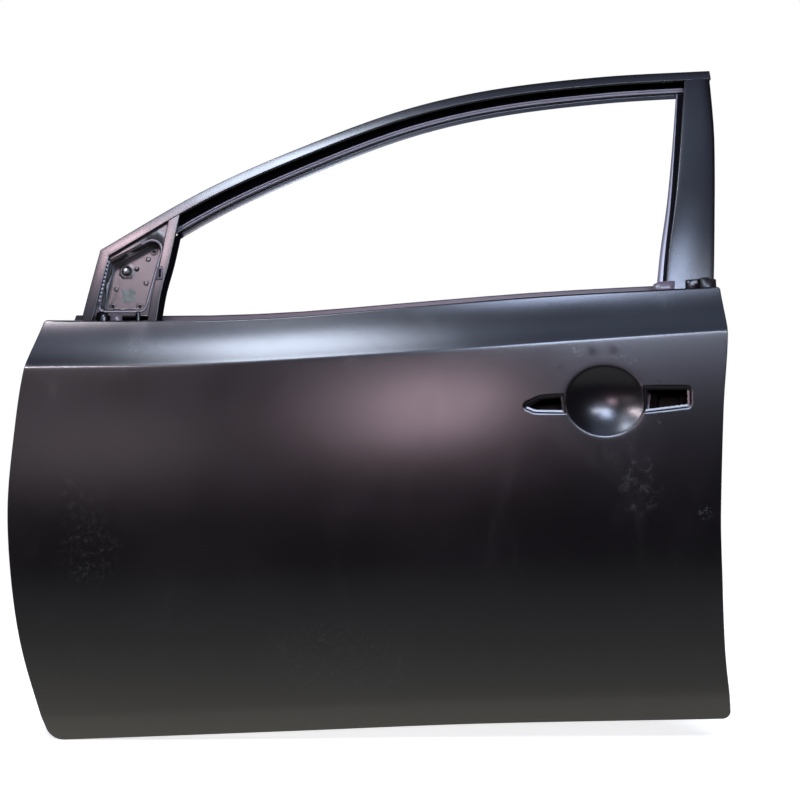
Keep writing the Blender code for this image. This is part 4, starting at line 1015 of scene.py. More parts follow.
class OuterSkin:
    """The outer panel, drawn finely with its crease, handle seat, belt flange and hem."""

    def __init__(self, form: DoorForm) -> None:
        """Stores the form."""
        self.form = form
        self.piece: Optional[bpy.types.Object] = None

    def edge(self) -> List[Tuple[float, float, str]]:
        """Outline of the panel, counter-clockwise from its front top corner.

        Returns:
            (x, z, kind) points, where kind is hem, belt or corner.
        """
        f, s = self.form, self.form.sizes
        top_front, top_rear = float(f.belt(0.0)), float(f.belt(s.rear_edge[-1][1]))
        corners = [(float(f.front(top_front)), top_front, s.top_radius, "corner")]
        corners += [(float(f.front(z)), z, 0.0, "hem")
                    for z in np.linspace(top_front - 0.012, -0.139, 76)]
        corners.append((*s.front_foot, "hem"))
        corners += [(x, float(f.bottom(x)), 0.0, "hem") for x in np.linspace(0.068, 1.044, 90)]
        corners.append((*s.rear_foot, "hem"))
        corners += [(float(f.rear(z)), z, 0.0, "hem") for z in np.linspace(-0.105, top_rear - 0.012, 72)]
        corners.append((float(f.rear(top_rear)), top_rear, s.top_radius, "corner"))
        first, last = float(f.rear(top_rear)) - 0.02, float(f.front(top_front)) + 0.02
        corners += [(x, float(f.belt(x)), 0.0, "belt") for x in np.linspace(first, last, 90)]
        return Outline.rounded(corners, 8)

    def rim(self, kind: str) -> List[Flat]:
        """Section of the panel's edge.

        Args:
            kind: hem, belt or corner.

        Returns:
            (inset, depth) steps from the panel's face to its free edge, nine of them.
        """
        s = self.form.sizes
        r, b = s.hem_radius, s.belt_bend
        if kind == "hem":
            fold = [(r * (1 - math.sin(a)), r * (1 - math.cos(a))) for a in np.linspace(0, math.pi, 7)]
            return fold + [((r + s.hem_lip) / 2, 2 * r), (s.hem_lip, 2 * r)]
        turned = b if kind == "belt" else r
        bend = [(turned * (1 - math.sin(a)), turned * (1 - math.cos(a)))
                for a in np.linspace(0, math.pi / 2, 6)]
        if kind == "belt":
            return bend + [(0.0, b + (s.belt_flange - b) * t) for t in (0.33, 0.67, 1.0)]
        return bend + [(0.0, r * t) for t in (1.4, 1.8, 2.1)]

    def build(self) -> None:
        """Draws the panel and closes it at its gauge."""
        f, h = self.form, self.form.handle
        sheet = Sheet(f.pressed)
        edge = self.edge()
        sections = [self.rim(p[2]) for p in edge]
        outer = sheet.line(Outline.inset(edge, [section[0][0] for section in sections]))
        for scale in (0.30, 0.55, 0.74, 0.86, 0.93, 0.97, 0.99, 1.01):
            sheet.line(h.ring(scale, 24 if scale < 0.4 else 96))
        holes = []
        for seat in (h.front_seat(), h.rear_seat()):
            for sunk in (-0.0010, 0.0001, 0.0005, 0.0011, 0.0017, 0.0022, 0.0028, 0.0034, 0.0046):
                ring = Outline.stepped(Outline.shrunk(seat, sunk), 0.003)
                if sunk < 0:
                    ring = [p for p in ring if self.clear_of_bowl(p)]
                    sheet.line(ring, closed=False)
                else:
                    sheet.line(ring)
            hole = Outline.stepped(Outline.shrunk(seat, h.rim + h.wall + h.ledge + h.hole_wave), 0.0022)
            holes.append(sheet.line(Outline.inset(hole, [self.wave(i, p) for i, p in enumerate(hole)])))
        for scale in (1.03, 1.06):
            sheet.scatter(h.ring(scale, 96), 0.0010)
        sheet.scatter(self.free_places(), 0.0016)
        points, normals, faces, number = sheet.cover(outer, holes)
        loops = [[number[n] for n in outer]]
        more, more_normals = [points], [normals]
        total = len(points)
        for step in range(1, 9):
            flat = Outline.inset(edge, [section[step][0] for section in sections])
            base, normal = f.on(f.skin, flat)
            rows, flow = [], []
            for i, point in enumerate(edge):
                inset, depth = sections[i][step]
                straight = point[2] != "hem"
                rows.append(base[i] + (np.array([0.0, 1.0, 0.0]) if straight else normal[i]) * depth)
                flow.append(self.rim_normal(i, edge, sections[i], step, normal[i]))
            more.append(np.array(rows))
            more_normals.append(np.array(flow))
            loops.append(list(range(total, total + len(edge))))
            total += len(edge)
        for inner, beyond in zip(loops[:-1], loops[1:]):
            for i in range(len(inner)):
                after = (i + 1) % len(inner)
                faces.append((inner[i], inner[after], beyond[after], beyond[i]))
        self.piece = Workshop.closed_piece("fine_outer_panel", np.concatenate(more),
                                           np.concatenate(more_normals), faces, f.sizes.gauge)
        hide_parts("outer_panel")

    def wave(self, number: int, point: Flat) -> float:
        """How far a hole's cut edge strays at a point, more at the ends towards the hinge and the latch.

        Args:
            number: Which point of the hole.
            point: Its place.

        Returns:
            The stray, inwards when positive.
        """
        h = self.form.handle
        rough = abs(point[0] - h.rough_front) < h.rough_length or point[0] > h.rough_rear
        stray = 0.6 * math.sin(1.7 * number) + 0.4 * math.sin(2.9 * number + 1.0)
        return h.hole_wave * stray * (1.0 if rough else 0.25)

    def clear_of_bowl(self, point: Flat) -> bool:
        """Whether a point lies outside the bowl's outermost ring.

        Args:
            point: The place.

        Returns:
            True when it is clear.
        """
        h = self.form.handle
        across = (point[0] - h.bowl_x) / (h.bowl_length / 2)
        above = (point[1] - h.bowl_z) / (h.bowl_height / 2)
        return math.hypot(across, above) > 1.07

    def rim_normal(self, i: int, edge: Sequence, section: Sequence[Flat], step: int,
                   face: np.ndarray) -> np.ndarray:
        """Inward normal of a point of the rim.

        Args:
            i: Which point of the edge.
            edge: The panel's outline.
            section: The rim's section there.
            step: Which step of the section.
            face: The panel's own inward normal.

        Returns:
            The unit normal.
        """
        here, before, after = edge[i], edge[i - 1], edge[(i + 1) % len(edge)]
        along = Vector((after[0] - before[0], after[1] - before[1])).normalized()
        inward = np.array([-along.y, 0.0, along.x])
        low = section[max(step - 1, 0)]
        high = section[min(step + 1, len(section) - 1)]
        across, deep = high[0] - low[0], high[1] - low[1]
        normal = inward * deep - face * across
        return normal / max(np.linalg.norm(normal), 1e-9)

    def free_places(self) -> List[Flat]:
        """Free points: denser across the crease, the shoulder, the sill and the handle seat.

        Returns:
            The places.
        """
        f, h = self.form, self.form.handle
        places = []
        for x in np.arange(-0.04, 1.095, 0.011):
            crease, belt, low = float(f.crease(x)), float(f.belt(x)), float(f.bottom(x))
            levels = [crease + d for d in (-0.008, -0.005, -0.0032, -0.0018, -0.0007, 0.0003, 0.0014,
                                           0.0028, 0.0046, 0.0075)]
            levels += list(np.arange(crease + 0.012, belt - 0.003, 0.005))
            levels += list(np.arange(low + 0.052, crease - 0.012, 0.010))
            levels += list(np.arange(low + 0.006, low + 0.050, 0.004))
            places += [(float(x), float(z)) for z in levels]
        box = (h.bowl_x - 0.145, h.bowl_x + 0.152, h.bowl_z - 0.072, h.bowl_z + 0.072)
        places = [p for p in places if not (box[0] < p[0] < box[1] and box[2] < p[1] < box[3])]
        places += [(float(x), float(z)) for x in np.arange(box[0], box[1], 0.004)
                   for z in np.arange(box[2], box[3], 0.004)]
        return places

    def dress(self, finish: bpy.types.Material) -> None:
        """Finishes the panel."""
        Workshop.finish(self.piece, finish, Slot.PRIMER)


@dataclass(frozen=True)
class FrameSizes:
    """Sizes of the window frame on the door's grid."""

    header_line: Tuple[Flat, ...] = ((0.085, 0.607), (0.252, 0.709), (0.406, 0.782), (0.574, 0.848),
                                     (0.724, 0.885), (0.912, 0.908), (1.096, 0.918))
    header_face: float = 0.0175
    header_return: float = 0.024
    leg_rake: float = 0.209
    leg_foot: float = 0.360
    lip: float = 0.005
    channel_top: float = 0.0025
    channel_deep: float = 0.0205
    channel_base: float = 0.004
    reach_line: Tuple[Flat, ...] = ((0.200, 0.0445), (0.420, 0.0420), (0.700, 0.0400), (1.050, 0.0370))
    pillar_outer: Tuple[Flat, ...] = ((0.520, 1.0705), (0.651, 1.080), (0.737, 1.087), (0.807, 1.092),
                                      (0.914, 1.095))
    pillar_inner: Tuple[Flat, ...] = ((0.520, 0.994), (0.602, 1.005), (0.685, 1.020), (0.790, 1.036),
                                      (0.900, 1.052))
    pillar_return: float = 0.020
    pillar_crown: float = 0.0022
    pillar_head: float = 0.908
    pillar_foot: float = 0.527
    rear_head: float = 0.894
    rear_foot: float = 0.141
    run_depth: float = 0.007
    rear_reach: Tuple[Flat, ...] = ((0.500, 0.0125), (0.700, 0.0110), (0.900, 0.0095))
    run_overlap: float = 0.0075
    run_mouth: float = -0.0030
    run_base: float = -0.008
    catch_width: float = 0.0032
    rear_catch: Tuple[Flat, ...] = ((0.500, 0.0092), (0.565, 0.0084), (0.713, 0.0048), (0.848, 0.0024),
                                   (0.900, 0.0022))
    division: Tuple[Flat, ...] = ((0.494, 0.1835), (0.539, 0.1895), (0.586, 0.2000), (0.662, 0.2125))
    division_face: Tuple[Flat, ...] = ((0.494, 0.0150), (0.560, 0.0150), (0.600, 0.0165), (0.662, 0.0180))
    division_return: float = 0.015
    division_reach: float = 0.0042
    division_foot: float = 0.161
    gauge: float = 0.0010
    run_gauge: float = 0.0008
    gap: float = 0.0008


class FramePiece(Enum):
    """Swept pieces of the window frame."""

    HEADER = "header_sash"
    HEADER_RUN = "header_run_channel"
    PILLAR = "pillar_cover"
    REAR_RUN = "rear_run_channel"
    BAR = "division_bar"
    FRONT_RUN = "front_run_channel"


class WindowFrame:
    """The roll-formed window frame, swept finely along the door's frame surface."""

    def __init__(self, form: DoorForm, sizes: FrameSizes) -> None:
        """Prepares the curves.

        Args:
            form: The door's surfaces.
            sizes: Sizes of the frame.
        """
        self.form = form
        self.sizes = sizes
        self.header = Curve(sizes.header_line)
        self.inner = Curve(sizes.pillar_inner)
        self.outer = Curve(sizes.pillar_outer)
        self.bar = Curve(sizes.division)
        self.bar_face = Curve(sizes.division_face)
        self.reach = Curve(sizes.reach_line)
        self.rear_reach = Curve(sizes.rear_reach)
        self.pieces: Dict[FramePiece, bpy.types.Object] = {}
        self.counts: Dict[FramePiece, int] = {}
        self.widths: Dict[FramePiece, int] = {}

    def sweep(self, path: Sequence[Flat], section: Callable[[int], Sequence[Flat]]) -> np.ndarray:
        """Rows of a section along a path on the frame's surface.

        Args:
            path: (x, z) points of the path.
            section: (across, inwards) points for each step, across towards the window.

        Returns:
            An array of rows, points and coordinates.
        """
        spine, normal = self.form.on(self.form.frame, path)
        rows = []
        for i in range(len(path)):
            before = spine[i] - spine[i - 1] if i else spine[1] - spine[0]
            after = spine[i + 1] - spine[i] if i < len(path) - 1 else before
            side_before = np.cross(normal[i], before)
            side_before /= np.linalg.norm(side_before)
            side_after = np.cross(normal[i], after)
            side = side_before + side_after / np.linalg.norm(side_after)
            side /= np.linalg.norm(side)
            stretch = 1 / float(np.dot(side, side_before))
            rows.append([spine[i] + side * stretch * u + normal[i] * n for u, n in section(i)])
        return np.array(rows)

    def header_height(self, x: float, across: float, inwards: float) -> float:
        """Level of the header's line at (across, inwards) from its outer edge.

        Args:
            x: Place along the door.
            across: Distance towards the window.
            inwards: Distance behind the face.

        Returns:
            The level.
        """
        at = x
        point = np.zeros(3)
        for _ in range(6):
            pair, normal = self.form.on(self.form.frame, [(at, float(self.header(at))),
                                                          (at + 0.001, float(self.header(at + 0.001)))])
            side = np.cross(normal[0], pair[1] - pair[0])
            point = pair[0] + side / np.linalg.norm(side) * across + normal[0] * inwards
            at += x - point[0]
        return float(point[2])

    @staticmethod
    def slide(rows: np.ndarray, end: int, beyond: int, clear: Callable[[np.ndarray, int], bool]) -> None:
        """Slides an end row's points towards the next row until they are clear.

        Args:
            rows: The swept rows.
            end: Which row slides.
            beyond: Which row it slides towards.
            clear: Whether a point of the section is clear.
        """
        for j in range(rows.shape[1]):
            low, high = rows[beyond][j].copy(), rows[end][j].copy()
            if clear(high, j):
                continue
            for _ in range(24):
                middle = (low + high) / 2
                if clear(middle, j):
                    low = middle
                else:
                    high = middle
            rows[end][j] = low

    def sheet(self, kind: FramePiece, rows: np.ndarray, gauge: Optional[float] = None) -> None:
        """Closes swept rows at their gauge with smooth normals and puts them in the frame.

        Args:
            kind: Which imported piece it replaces.
            rows: The swept rows.
            gauge: Thickness, or the frame's own.
        """
        gauge = gauge or self.sizes.gauge
        along = np.gradient(rows, axis=0)
        across = np.gradient(rows, axis=1)
        inward = np.cross(across, along)
        inward /= np.maximum(np.linalg.norm(inward, axis=-1, keepdims=True), 1e-12)
        spine = self.form.normals(self.form.frame, rows[:, :, 0], rows[:, :, 2])
        if float(np.mean(np.sum(inward * spine, axis=-1))) < 0:
            inward = -inward
        count, width = rows.shape[:2]
        self.counts[kind], self.widths[kind] = count, width
        faces = [(i * width + j, i * width + j + 1, (i + 1) * width + j + 1, (i + 1) * width + j)
                 for i in range(count - 1) for j in range(width - 1)]
        piece = Workshop.closed_piece("fine_" + kind.value, rows.reshape(-1, 3), inward.reshape(-1, 3),
                                      faces, gauge)
        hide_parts(kind.value)
        self.pieces[kind] = piece

    @staticmethod
    def eased(corner: Flat, start: Flat, end: Flat, steps: int = 4) -> List[Flat]:
        """Rounded bend of a section.

        Args:
            corner: Where the two straight parts would meet.
            start: Where the bend starts.
            end: Where it ends.
            steps: Steps of the bend.

        Returns:
            The bend's points.
        """
        points = []
        for k in range(steps + 1):
            t = k / steps
            points.append(tuple((1 - t) ** 2 * a + 2 * t * (1 - t) * c + t * t * b
                                for a, c, b in zip(start, corner, end)))
        return points

    def build(self) -> None:
        """Sweeps every piece of the frame."""
        s = self.sizes
        corner, last = s.header_line[0], s.header_line[-1]
        path = [(corner[0] - s.leg_rake * (corner[1] - z), z)
                for z in np.linspace(s.leg_foot, corner[1], 26)[:-1]]
        path += [(x, float(self.header(x))) for x in np.linspace(corner[0], last[0], 90)]
        face = s.header_face
        section = [(0.0, s.header_return), (0.0, 0.010),
                   *self.eased((0.0, 0.0), (0.0, 0.0016), (0.0016, 0.0)),
                   (0.006, -0.0002), (0.012, -0.0002),
                   *self.eased((face, 0.0), (face - 0.0014, 0.0), (face, 0.0014)), (face, s.lip)]
        self.sheet(FramePiece.HEADER, self.sweep(path, lambda i: section))
        self.header_run()
        self.pillar()
        self.rear_run()
        self.division()

    def run_section(self, mouth: float, base: float, reach: float, beads: bool) -> List[Flat]:
        """Section of a glass run channel.

        Args:
            mouth: Where its outer leg starts.
            base: Where its base lies.
            reach: How far its inner leg goes.
            beads: Whether the inner leg has two stiffening beads.

        Returns:
            The section's points.
        """
        top, deep = self.sizes.channel_top, self.sizes.channel_deep
        section = [(mouth, top), (base + 0.0015, top), (base, top + 0.0015), (base, deep - 0.0015),
                   (base + 0.0015, deep)]
        if not beads:
            bend = self.eased((reach - 0.0012, deep), (reach - 0.0020, deep),
                              (reach - 0.0008, deep - 0.0016), 3)
            return section + [(reach - 0.0032, deep), *bend, (reach, deep - 0.0040)]
        edge = reach - 0.0085
        for shift in (-0.0092, -0.0046):
            start = edge + shift
            section += [(start, deep), (start + 0.0004, deep - 0.0008), (start + 0.0010, deep - 0.0026),
                        (start + 0.0015, deep - 0.0031), (start + 0.0021, deep - 0.0029),
                        (start + 0.0030, deep - 0.0005), (start + 0.0034, deep)]
        bend = self.eased((edge + 0.0004, deep), (edge + 0.0001, deep), (edge + 0.0012, deep + 0.0030), 3)
        return section + [(edge, deep), *bend, (reach, deep + 0.0034)]

    def header_run(self) -> None:
        """Header's run channel, mitred against the division bar and the rear pillar."""
        s = self.sizes
        start = float(self.bar(s.division[-1][0])) - 0.026
        end = float(self.inner(s.pillar_inner[-1][0])) + 0.014
        xs = np.linspace(start, end, 74)
        path = [(float(x), float(self.header(x))) for x in xs]
        mouth = s.header_face - 0.0025
        rows = self.sweep(path, lambda i: self.run_section(mouth, s.channel_base,
                                                           float(self.reach(xs[i])), True))
        depths = [p[1] for p in self.run_section(mouth, s.channel_base, 0.040, True)]

        def behind_bar(point: np.ndarray, j: int) -> bool:
            """Whether a point of the section lies behind the division bar."""
            return point[0] > float(self.bar(point[2])) + (0.0006 if depths[j] < s.run_depth else -0.0100)

        def before_pillar(point: np.ndarray, j: int) -> bool:
            """Whether a point of the section lies before the rear pillar."""
            return point[0] < float(self.inner(point[2])) + (-0.0006 if depths[j] < s.run_depth else 0.0110)

        keep = [i for i in range(len(rows)) if any(behind_bar(rows[i][j], j) for j in range(len(depths)))]
        rows = rows[max(keep[0] - 1, 0):]
        self.slide_to(rows, 0, behind_bar)
        self.slide_to(rows[::-1], 0, before_pillar)
        self.sheet(FramePiece.HEADER_RUN, rows, s.run_gauge)

    @staticmethod
    def slide_to(rows: np.ndarray, end: int, clear: Callable[[np.ndarray, int], bool]) -> None:
        """Moves the points of the first rows that aren't clear onto the limit.

        Args:
            rows: The swept rows, changed in place.
            end: The first row.
            clear: Whether a point is clear.
        """
        for j in range(rows.shape[1]):
            first = end
            while first < len(rows) - 2 and not clear(rows[first][j], j):
                first += 1
            if first == end:
                continue
            low, high = rows[first][j].copy(), rows[first - 1][j].copy()
            for _ in range(24):
                middle = (low + high) / 2
                if clear(middle, j):
                    low = middle
                else:
                    high = middle
            for i in range(end, first):
                rows[i][j] = low + (rows[first][j] - low) * (i - end) / max(first - end, 1) * 0.5

    def pillar(self) -> None:
        """Rear pillar's crowned outer face."""
        s = self.sizes
        levels = np.linspace(s.pillar_head, s.pillar_foot, 44)
        path = [(float(self.outer(z)), float(z)) for z in levels]

        def section(i: int) -> List[Flat]:
            """Cross-section at one level.

            Args:
                i: Number of the level.

            Returns:
                Its points, across the face and inwards.
            """
            width = float(self.outer(levels[i]) - self.inner(levels[i]))
            crown = [(width * t, -s.pillar_crown * 4 * t * (1 - t)) for t in np.linspace(0.06, 0.94, 20)]
            rear = [(0.0, s.pillar_return), (0.0, 0.010),
                    *self.eased((0.0, 0.0), (0.0, 0.0020), (0.0020, 0.0))]
            return rear + crown + [*self.eased((width, 0.0), (width - 0.0014, 0.0), (width, 0.0014)),
                                   (width, s.lip)]

        rows = self.sweep(path, section)
        tops = section(0)
        self.slide(rows, 0, 2, lambda p, j: p[2] + s.gap < self.header_height(
            p[0], s.header_face, tops[j][1]))
        rows[1] = (rows[0] + rows[2]) / 2
        self.sheet(FramePiece.PILLAR, rows)

    def rear_run(self) -> None:
        """Rear run channel with its catch edge, which gets a painted highlight."""
        s = self.sizes
        levels = np.linspace(s.rear_head, s.rear_foot, 50)
        path = [(float(self.inner(z)), float(z)) for z in levels]
        catch = Curve(s.rear_catch)

        def section(i: int) -> List[Flat]:
            """Cross-section at one level.

            Args:
                i: Number of the level.

            Returns:
                Its points, across the face and inwards.
            """
            reach = float(self.rear_reach(levels[i]))
            widen = float(catch(levels[i])) / s.catch_width
            plain = self.run_section(s.run_mouth, s.run_base, reach, False)
            return [(reach - (reach - u) * widen, n) if u > reach - s.catch_width - 0.0001 else (u, n)
                    for u, n in plain]

        rows = self.sweep(path, section)
        tops = self.run_section(s.run_mouth, s.run_base, s.rear_reach[-1][1], False)

        def under_header(point: np.ndarray, j: int) -> bool:
            """Whether a point of the section lies under the header."""
            across = float(self.reach(point[0])) - s.run_overlap
            return point[2] + s.gap < self.header_height(point[0], across, tops[j][1])

        self.slide_to(rows, 0, under_header)
        self.sheet(FramePiece.REAR_RUN, rows, s.run_gauge)

    def division(self) -> None:
        """Division bar and the run channel behind it."""
        s = self.sizes
        top = s.division[-1][0]
        foot = float(self.form.belt(s.division[0][1])) - 0.030
        levels = np.linspace(foot, top + 0.012, 26)
        path = [(float(self.bar(z)), float(z)) for z in levels]

        def section(i: int) -> List[Flat]:
            """Cross-section at one level.

            Args:
                i: Number of the level.

            Returns:
                Its points, across the face and inwards.
            """
            wide = float(self.bar_face(levels[i]))
            front = self.eased((-wide, 0.0), (-wide, 0.0018), (-wide + 0.0018, 0.0))
            rear = self.eased((0.0, 0.0), (-0.0014, 0.0), (0.0, 0.0014))
            return [(-wide, s.division_return), (-wide, 0.008), *front, (-wide * 0.5, -0.0003), *rear,
                    (0.0, s.lip)]

        rows = self.sweep(path, section)
        tops = section(0)
        self.slide_to(rows[::-1], 0, lambda p, j: p[2] + s.gap < self.header_height(
            p[0], s.header_face, tops[j][1]))
        self.sheet(FramePiece.BAR, rows)
        levels = np.linspace(s.division_foot, top, 34)
        path = [(float(self.bar(z)), float(z)) for z in levels]
        tops = self.run_section(s.run_mouth, s.run_base, s.division_reach, False)
        rows = self.sweep(path, lambda i: tops)
        self.slide_to(rows[::-1], 0, lambda p, j: p[2] + s.gap < self.header_height(
            p[0], float(self.reach(p[0])) - s.run_overlap, tops[j][1]))
        self.sheet(FramePiece.FRONT_RUN, rows, s.run_gauge)

    def dress(self, finishes: Dict[Coat, bpy.types.Material]) -> None:
        """Finishes the frame, with painted shade in the run channels and painted highlights on their beads
        and catch edges.

        Args:
            finishes: One material for each coat.
        """
        # Strips from this number on take the plain frame coat; the channels' strips before it are painted
        # shade.
        lit = {FramePiece.HEADER_RUN: 19, FramePiece.REAR_RUN: 99, FramePiece.FRONT_RUN: 99}
        # Strips on the beads and the catch edge that get the pale primer as a painted highlight.
        painted_highlight = {FramePiece.HEADER_RUN: (6, 7, 8, 9, 13, 14, 15, 16),
                  FramePiece.REAR_RUN: (5, 6, 7, 8, 9, 10, 11), FramePiece.FRONT_RUN: ()}
        for kind, piece in self.pieces.items():
            # Run channels take the near-black coat as painted shade, with the frame coat and the pale
            # painted highlight as second and third materials.
            dark = kind in lit
            Workshop.finish(piece, finishes[Coat.PAINTED_SHADE if dark else Coat.FRAME], Slot.PRIMER)
            if dark:
                piece.data.materials.append(finishes[Coat.FRAME])
                piece.data.materials.append(finishes[Coat.PAINTED_HIGHLIGHT])
                strips = self.widths[kind] - 1
                shown = (self.counts[kind] - 1) * strips
                for face in piece.data.polygons:
                    if face.index < 2 * shown and face.index % strips >= lit[kind]:
                        face.material_index = 1
                    if face.index < 2 * shown and face.index % strips in painted_highlight[kind]:
                        face.material_index = 2


@dataclass(frozen=True)
class MirrorSizes:
    """Sizes of the mirror mounting: its frame, its plate and their small parts."""

    plane_x: float = 0.13375
    plane_z: float = 0.560
    face: float = 0.0056
    seat: float = 0.0246
    leg_side: Tuple[Flat, ...] = ((0.09814, 0.59868), (0.07716, 0.49831))
    foot: float = 0.49831
    head: float = 0.6560
    under_bar: float = 0.0040
    rim: Tuple[Tuple[float, float, float], ...] = ((0.1000, 0.5865, 0.008), (0.0885, 0.5065, 0.007),
                                                   (0.1610, 0.5060, 0.011), (0.1910, 0.6360, 0.015))
    floor: Tuple[Tuple[float, float, float], ...] = ((0.1045, 0.5830, 0.006), (0.0920, 0.5110, 0.006),
                                                     (0.1575, 0.5110, 0.009), (0.1840, 0.6270, 0.012))
    bead: float = 0.0016
    bead_width: float = 0.0034
    stud: Flat = (0.124, 0.579)
    stud_dish: float = 0.0080
    stud_hole: float = 0.0037
    pin: Flat = (0.141, 0.583)
    nuts: Tuple[Flat, ...] = ((0.104, 0.520), (0.149, 0.520), (0.168, 0.612))
    nut_hole: float = 0.0033
    nut_height: float = 0.0052
    frame_gauge: float = 0.0008
    plate_gauge: float = 0.0009
    plate_margin: float = 0.005
    pad: Flat = (0.1300, 0.5385)
    pad_size: float = 0.0108
    pad_turn: float = 0.0674533
    blanks: Tuple[Flat, ...] = ((0.1105, 0.5435), (0.1604, 0.5933), (0.1588, 0.5533))


class MirrorDish:
    """Mirror mounting: its drawn frame, its plate, the stud's collar and the pale pad."""

    def __init__(self, form: DoorForm, sizes: MirrorSizes) -> None:
        """Stores the form and sizes.

        Args:
            form: The door's surfaces.
            sizes: Sizes of the mounting.
        """
        self.form = form
        self.sizes = sizes
        self.pieces: Dict[str, bpy.types.Object] = {}
        self.rim = [p[:2] for p in Outline.rounded(sizes.rim)]
        self.floor = [p[:2] for p in Outline.rounded(sizes.floor)]
        point, normal = form.on(form.frame, [(sizes.plane_x, sizes.plane_z)])
        self.plane_depth, self.plane_normal = float(point[0][1]), normal[0]

    def plane(self, x: np.ndarray, z: np.ndarray) -> np.ndarray:
        """Depth of the flat seat's plane before the depth of the walls."""
        s, n = self.sizes, self.plane_normal
        return self.plane_depth - (n[0] * (x - s.plane_x) + n[2] * (z - s.plane_z)) / n[1]

    def drawn(self, x: np.ndarray, z: np.ndarray) -> np.ndarray:
        """Depth of the frame with its rolled bead and its drawn wall.

        Args:
            x: Places along the door.
            z: Levels.

        Returns:
            The depth there.
        """
        s = self.sizes
        within = Outline.depth_inside(self.rim, x, z)
        short = np.maximum(-Outline.depth_inside(self.floor, x, z), 0.0)
        inside = np.maximum(within, 0.0)
        share = soft_step(1.35 * inside / np.maximum(inside + short, 0.0001))
        phase = np.clip((within + s.bead_width + 0.0004) / s.bead_width, 0.0, 1.0)
        face = self.form.frame(x, z) + s.face - s.bead * np.sin(math.pi * phase) ** 2
        return face * (1 - share) + (self.plane(x, z) + s.seat / self.plane_normal[1] - 0.0010) * share

    def through(self, place: Flat) -> Flat:
        """Where a place of the mounting's face comes out on the seat, square to the seat."""
        return (place[0] + float(self.plane_normal[0]) * self.sizes.seat,
                place[1] + float(self.plane_normal[2]) * self.sizes.seat)

    def seated(self, x: np.ndarray, z: np.ndarray) -> np.ndarray:
        """Depth of the plate with the dish round the stud and its small embossed places.

        Args:
            x: Places along the door.
            z: Levels.

        Returns:
            The depth there.
        """
        s = self.sizes
        stud = self.through(s.stud)
        around = np.hypot(x - stud[0], z - stud[1])
        depth = self.plane(x, z) + s.seat / self.plane_normal[1]
        depth = depth + 0.0026 * soft_step((s.stud_dish - around) / 0.0030)
        collar = soft_step((0.0125 - around) / 0.0030) * soft_step((around - 0.0075) / 0.0015)
        depth = depth - 0.0012 * collar
        for place in (self.through(s.pin), *s.blanks):
            away = np.hypot(x - place[0], z - place[1])
            depth = depth - 0.0011 * soft_step((0.0046 - away) / 0.0022)
        for nut in map(self.through, s.nuts):
            away = np.hypot(x - nut[0], z - nut[1])
            depth = depth - 0.0009 * soft_step((0.0064 - away) / 0.0018)
        return depth

    def frame_sheet(self) -> None:
        """Makes the drawn frame of the mounting."""
        s = self.sizes
        levels = np.linspace(s.foot, s.head, 12)
        bar, wide = Curve(FrameSizes().division), Curve(FrameSizes().division_face)
        rear = [(float(bar(z) - wide(z)) + s.under_bar, float(z)) for z in levels]
        outline = Outline.stepped([*s.leg_side, *rear], 0.004)
        sheet = Sheet(self.drawn)
        outer = sheet.line(outline)
        for away in (0.0042, 0.0034, 0.0029, 0.0024, 0.0019, 0.0014, 0.0009, 0.0004, -0.0002):
            ring = Outline.stepped(Outline.shrunk(s.rim, -away), 0.0025)
            inside = Outline.depth_inside(outline, *np.array(ring).T) > 0.0006
            start = next((i for i, kept in enumerate(inside) if not kept), None)
            if start is None:
                sheet.line(ring)
                continue
            order = [(start + i) % len(ring) for i in range(len(ring))]
            turned = [(ring[i], inside[i]) for i in order]
            run = []
            for place, kept in turned + [(None, False)]:
                if kept:
                    run.append(place)
                    continue
                if len(run) > 1:
                    sheet.line(run, closed=False)
                run = []
        rim = Outline.stepped(self.rim, 0.0025)
        for share in (0.12, 0.26, 0.42, 0.58, 0.74, 0.88):
            flat = []
            for x, z in rim:
                near = min(self.floor, key=lambda p: (p[0] - x) ** 2 + (p[1] - z) ** 2)
                flat.append((x + (near[0] - x) * share, z + (near[1] - z) * share))
            sheet.scatter(flat, 0.0003)
        hole = sheet.line(Outline.stepped(self.floor, 0.0025))
        points, normals, faces, _ = sheet.cover(outer, [hole])
        self.pieces["fine_mirror_frame"] = Workshop.closed_piece(
            "fine_mirror_frame", points, normals, faces, s.frame_gauge)
        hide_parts("mirror_frame")

    def plate_sheet(self) -> None:
        """Makes the plate at the bottom of the mounting."""
        s = self.sizes
        sheet = Sheet(self.seated)
        outer = sheet.line(Outline.stepped(Outline.shrunk(s.floor, -s.plate_margin), 0.004))

        def ring(centre: Flat, radius: float) -> List[Flat]:
            """Circle of 24 points about a centre."""
            return [(centre[0] + radius * math.cos(math.tau * k / 24),
                     centre[1] + radius * math.sin(math.tau * k / 24)) for k in range(24)]

        for radius in (0.0050, 0.0062, 0.0074, 0.0086, 0.0100):
            sheet.line(ring(self.through(s.stud), radius))
        for place in (self.through(s.pin), *s.blanks):
            for radius in (0.0012, 0.0024, 0.0032, 0.0040, 0.0047):
                sheet.line(ring(place, radius))
        holes = [sheet.line(ring(self.through(s.stud), s.stud_hole))]
        for nut in map(self.through, s.nuts):
            holes.append(sheet.line(ring(nut, s.nut_hole)))
            for radius in (0.0046, 0.0052, 0.0058, 0.0065):
                sheet.line(ring(nut, radius))
        box = np.array(s.floor)[:, :2]
        low, high = box.min(axis=0) - 0.004, box.max(axis=0) + 0.004
        grid = [(float(x), float(z)) for x in np.arange(low[0], high[0], 0.004)
                for z in np.arange(low[1], high[1], 0.004)]
        edge = Outline.shrunk(s.floor, -s.plate_margin)
        kept = Outline.depth_inside(edge, *np.array(grid).T) > 0.001
        sheet.scatter([p for p, inside in zip(grid, kept) if inside], 0.0008)
        points, normals, faces, _ = sheet.cover(outer, holes)
        self.pieces["fine_mirror_plate"] = Workshop.closed_piece(
            "fine_mirror_plate", points, normals, faces, s.plate_gauge)
        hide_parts("mirror_plate")

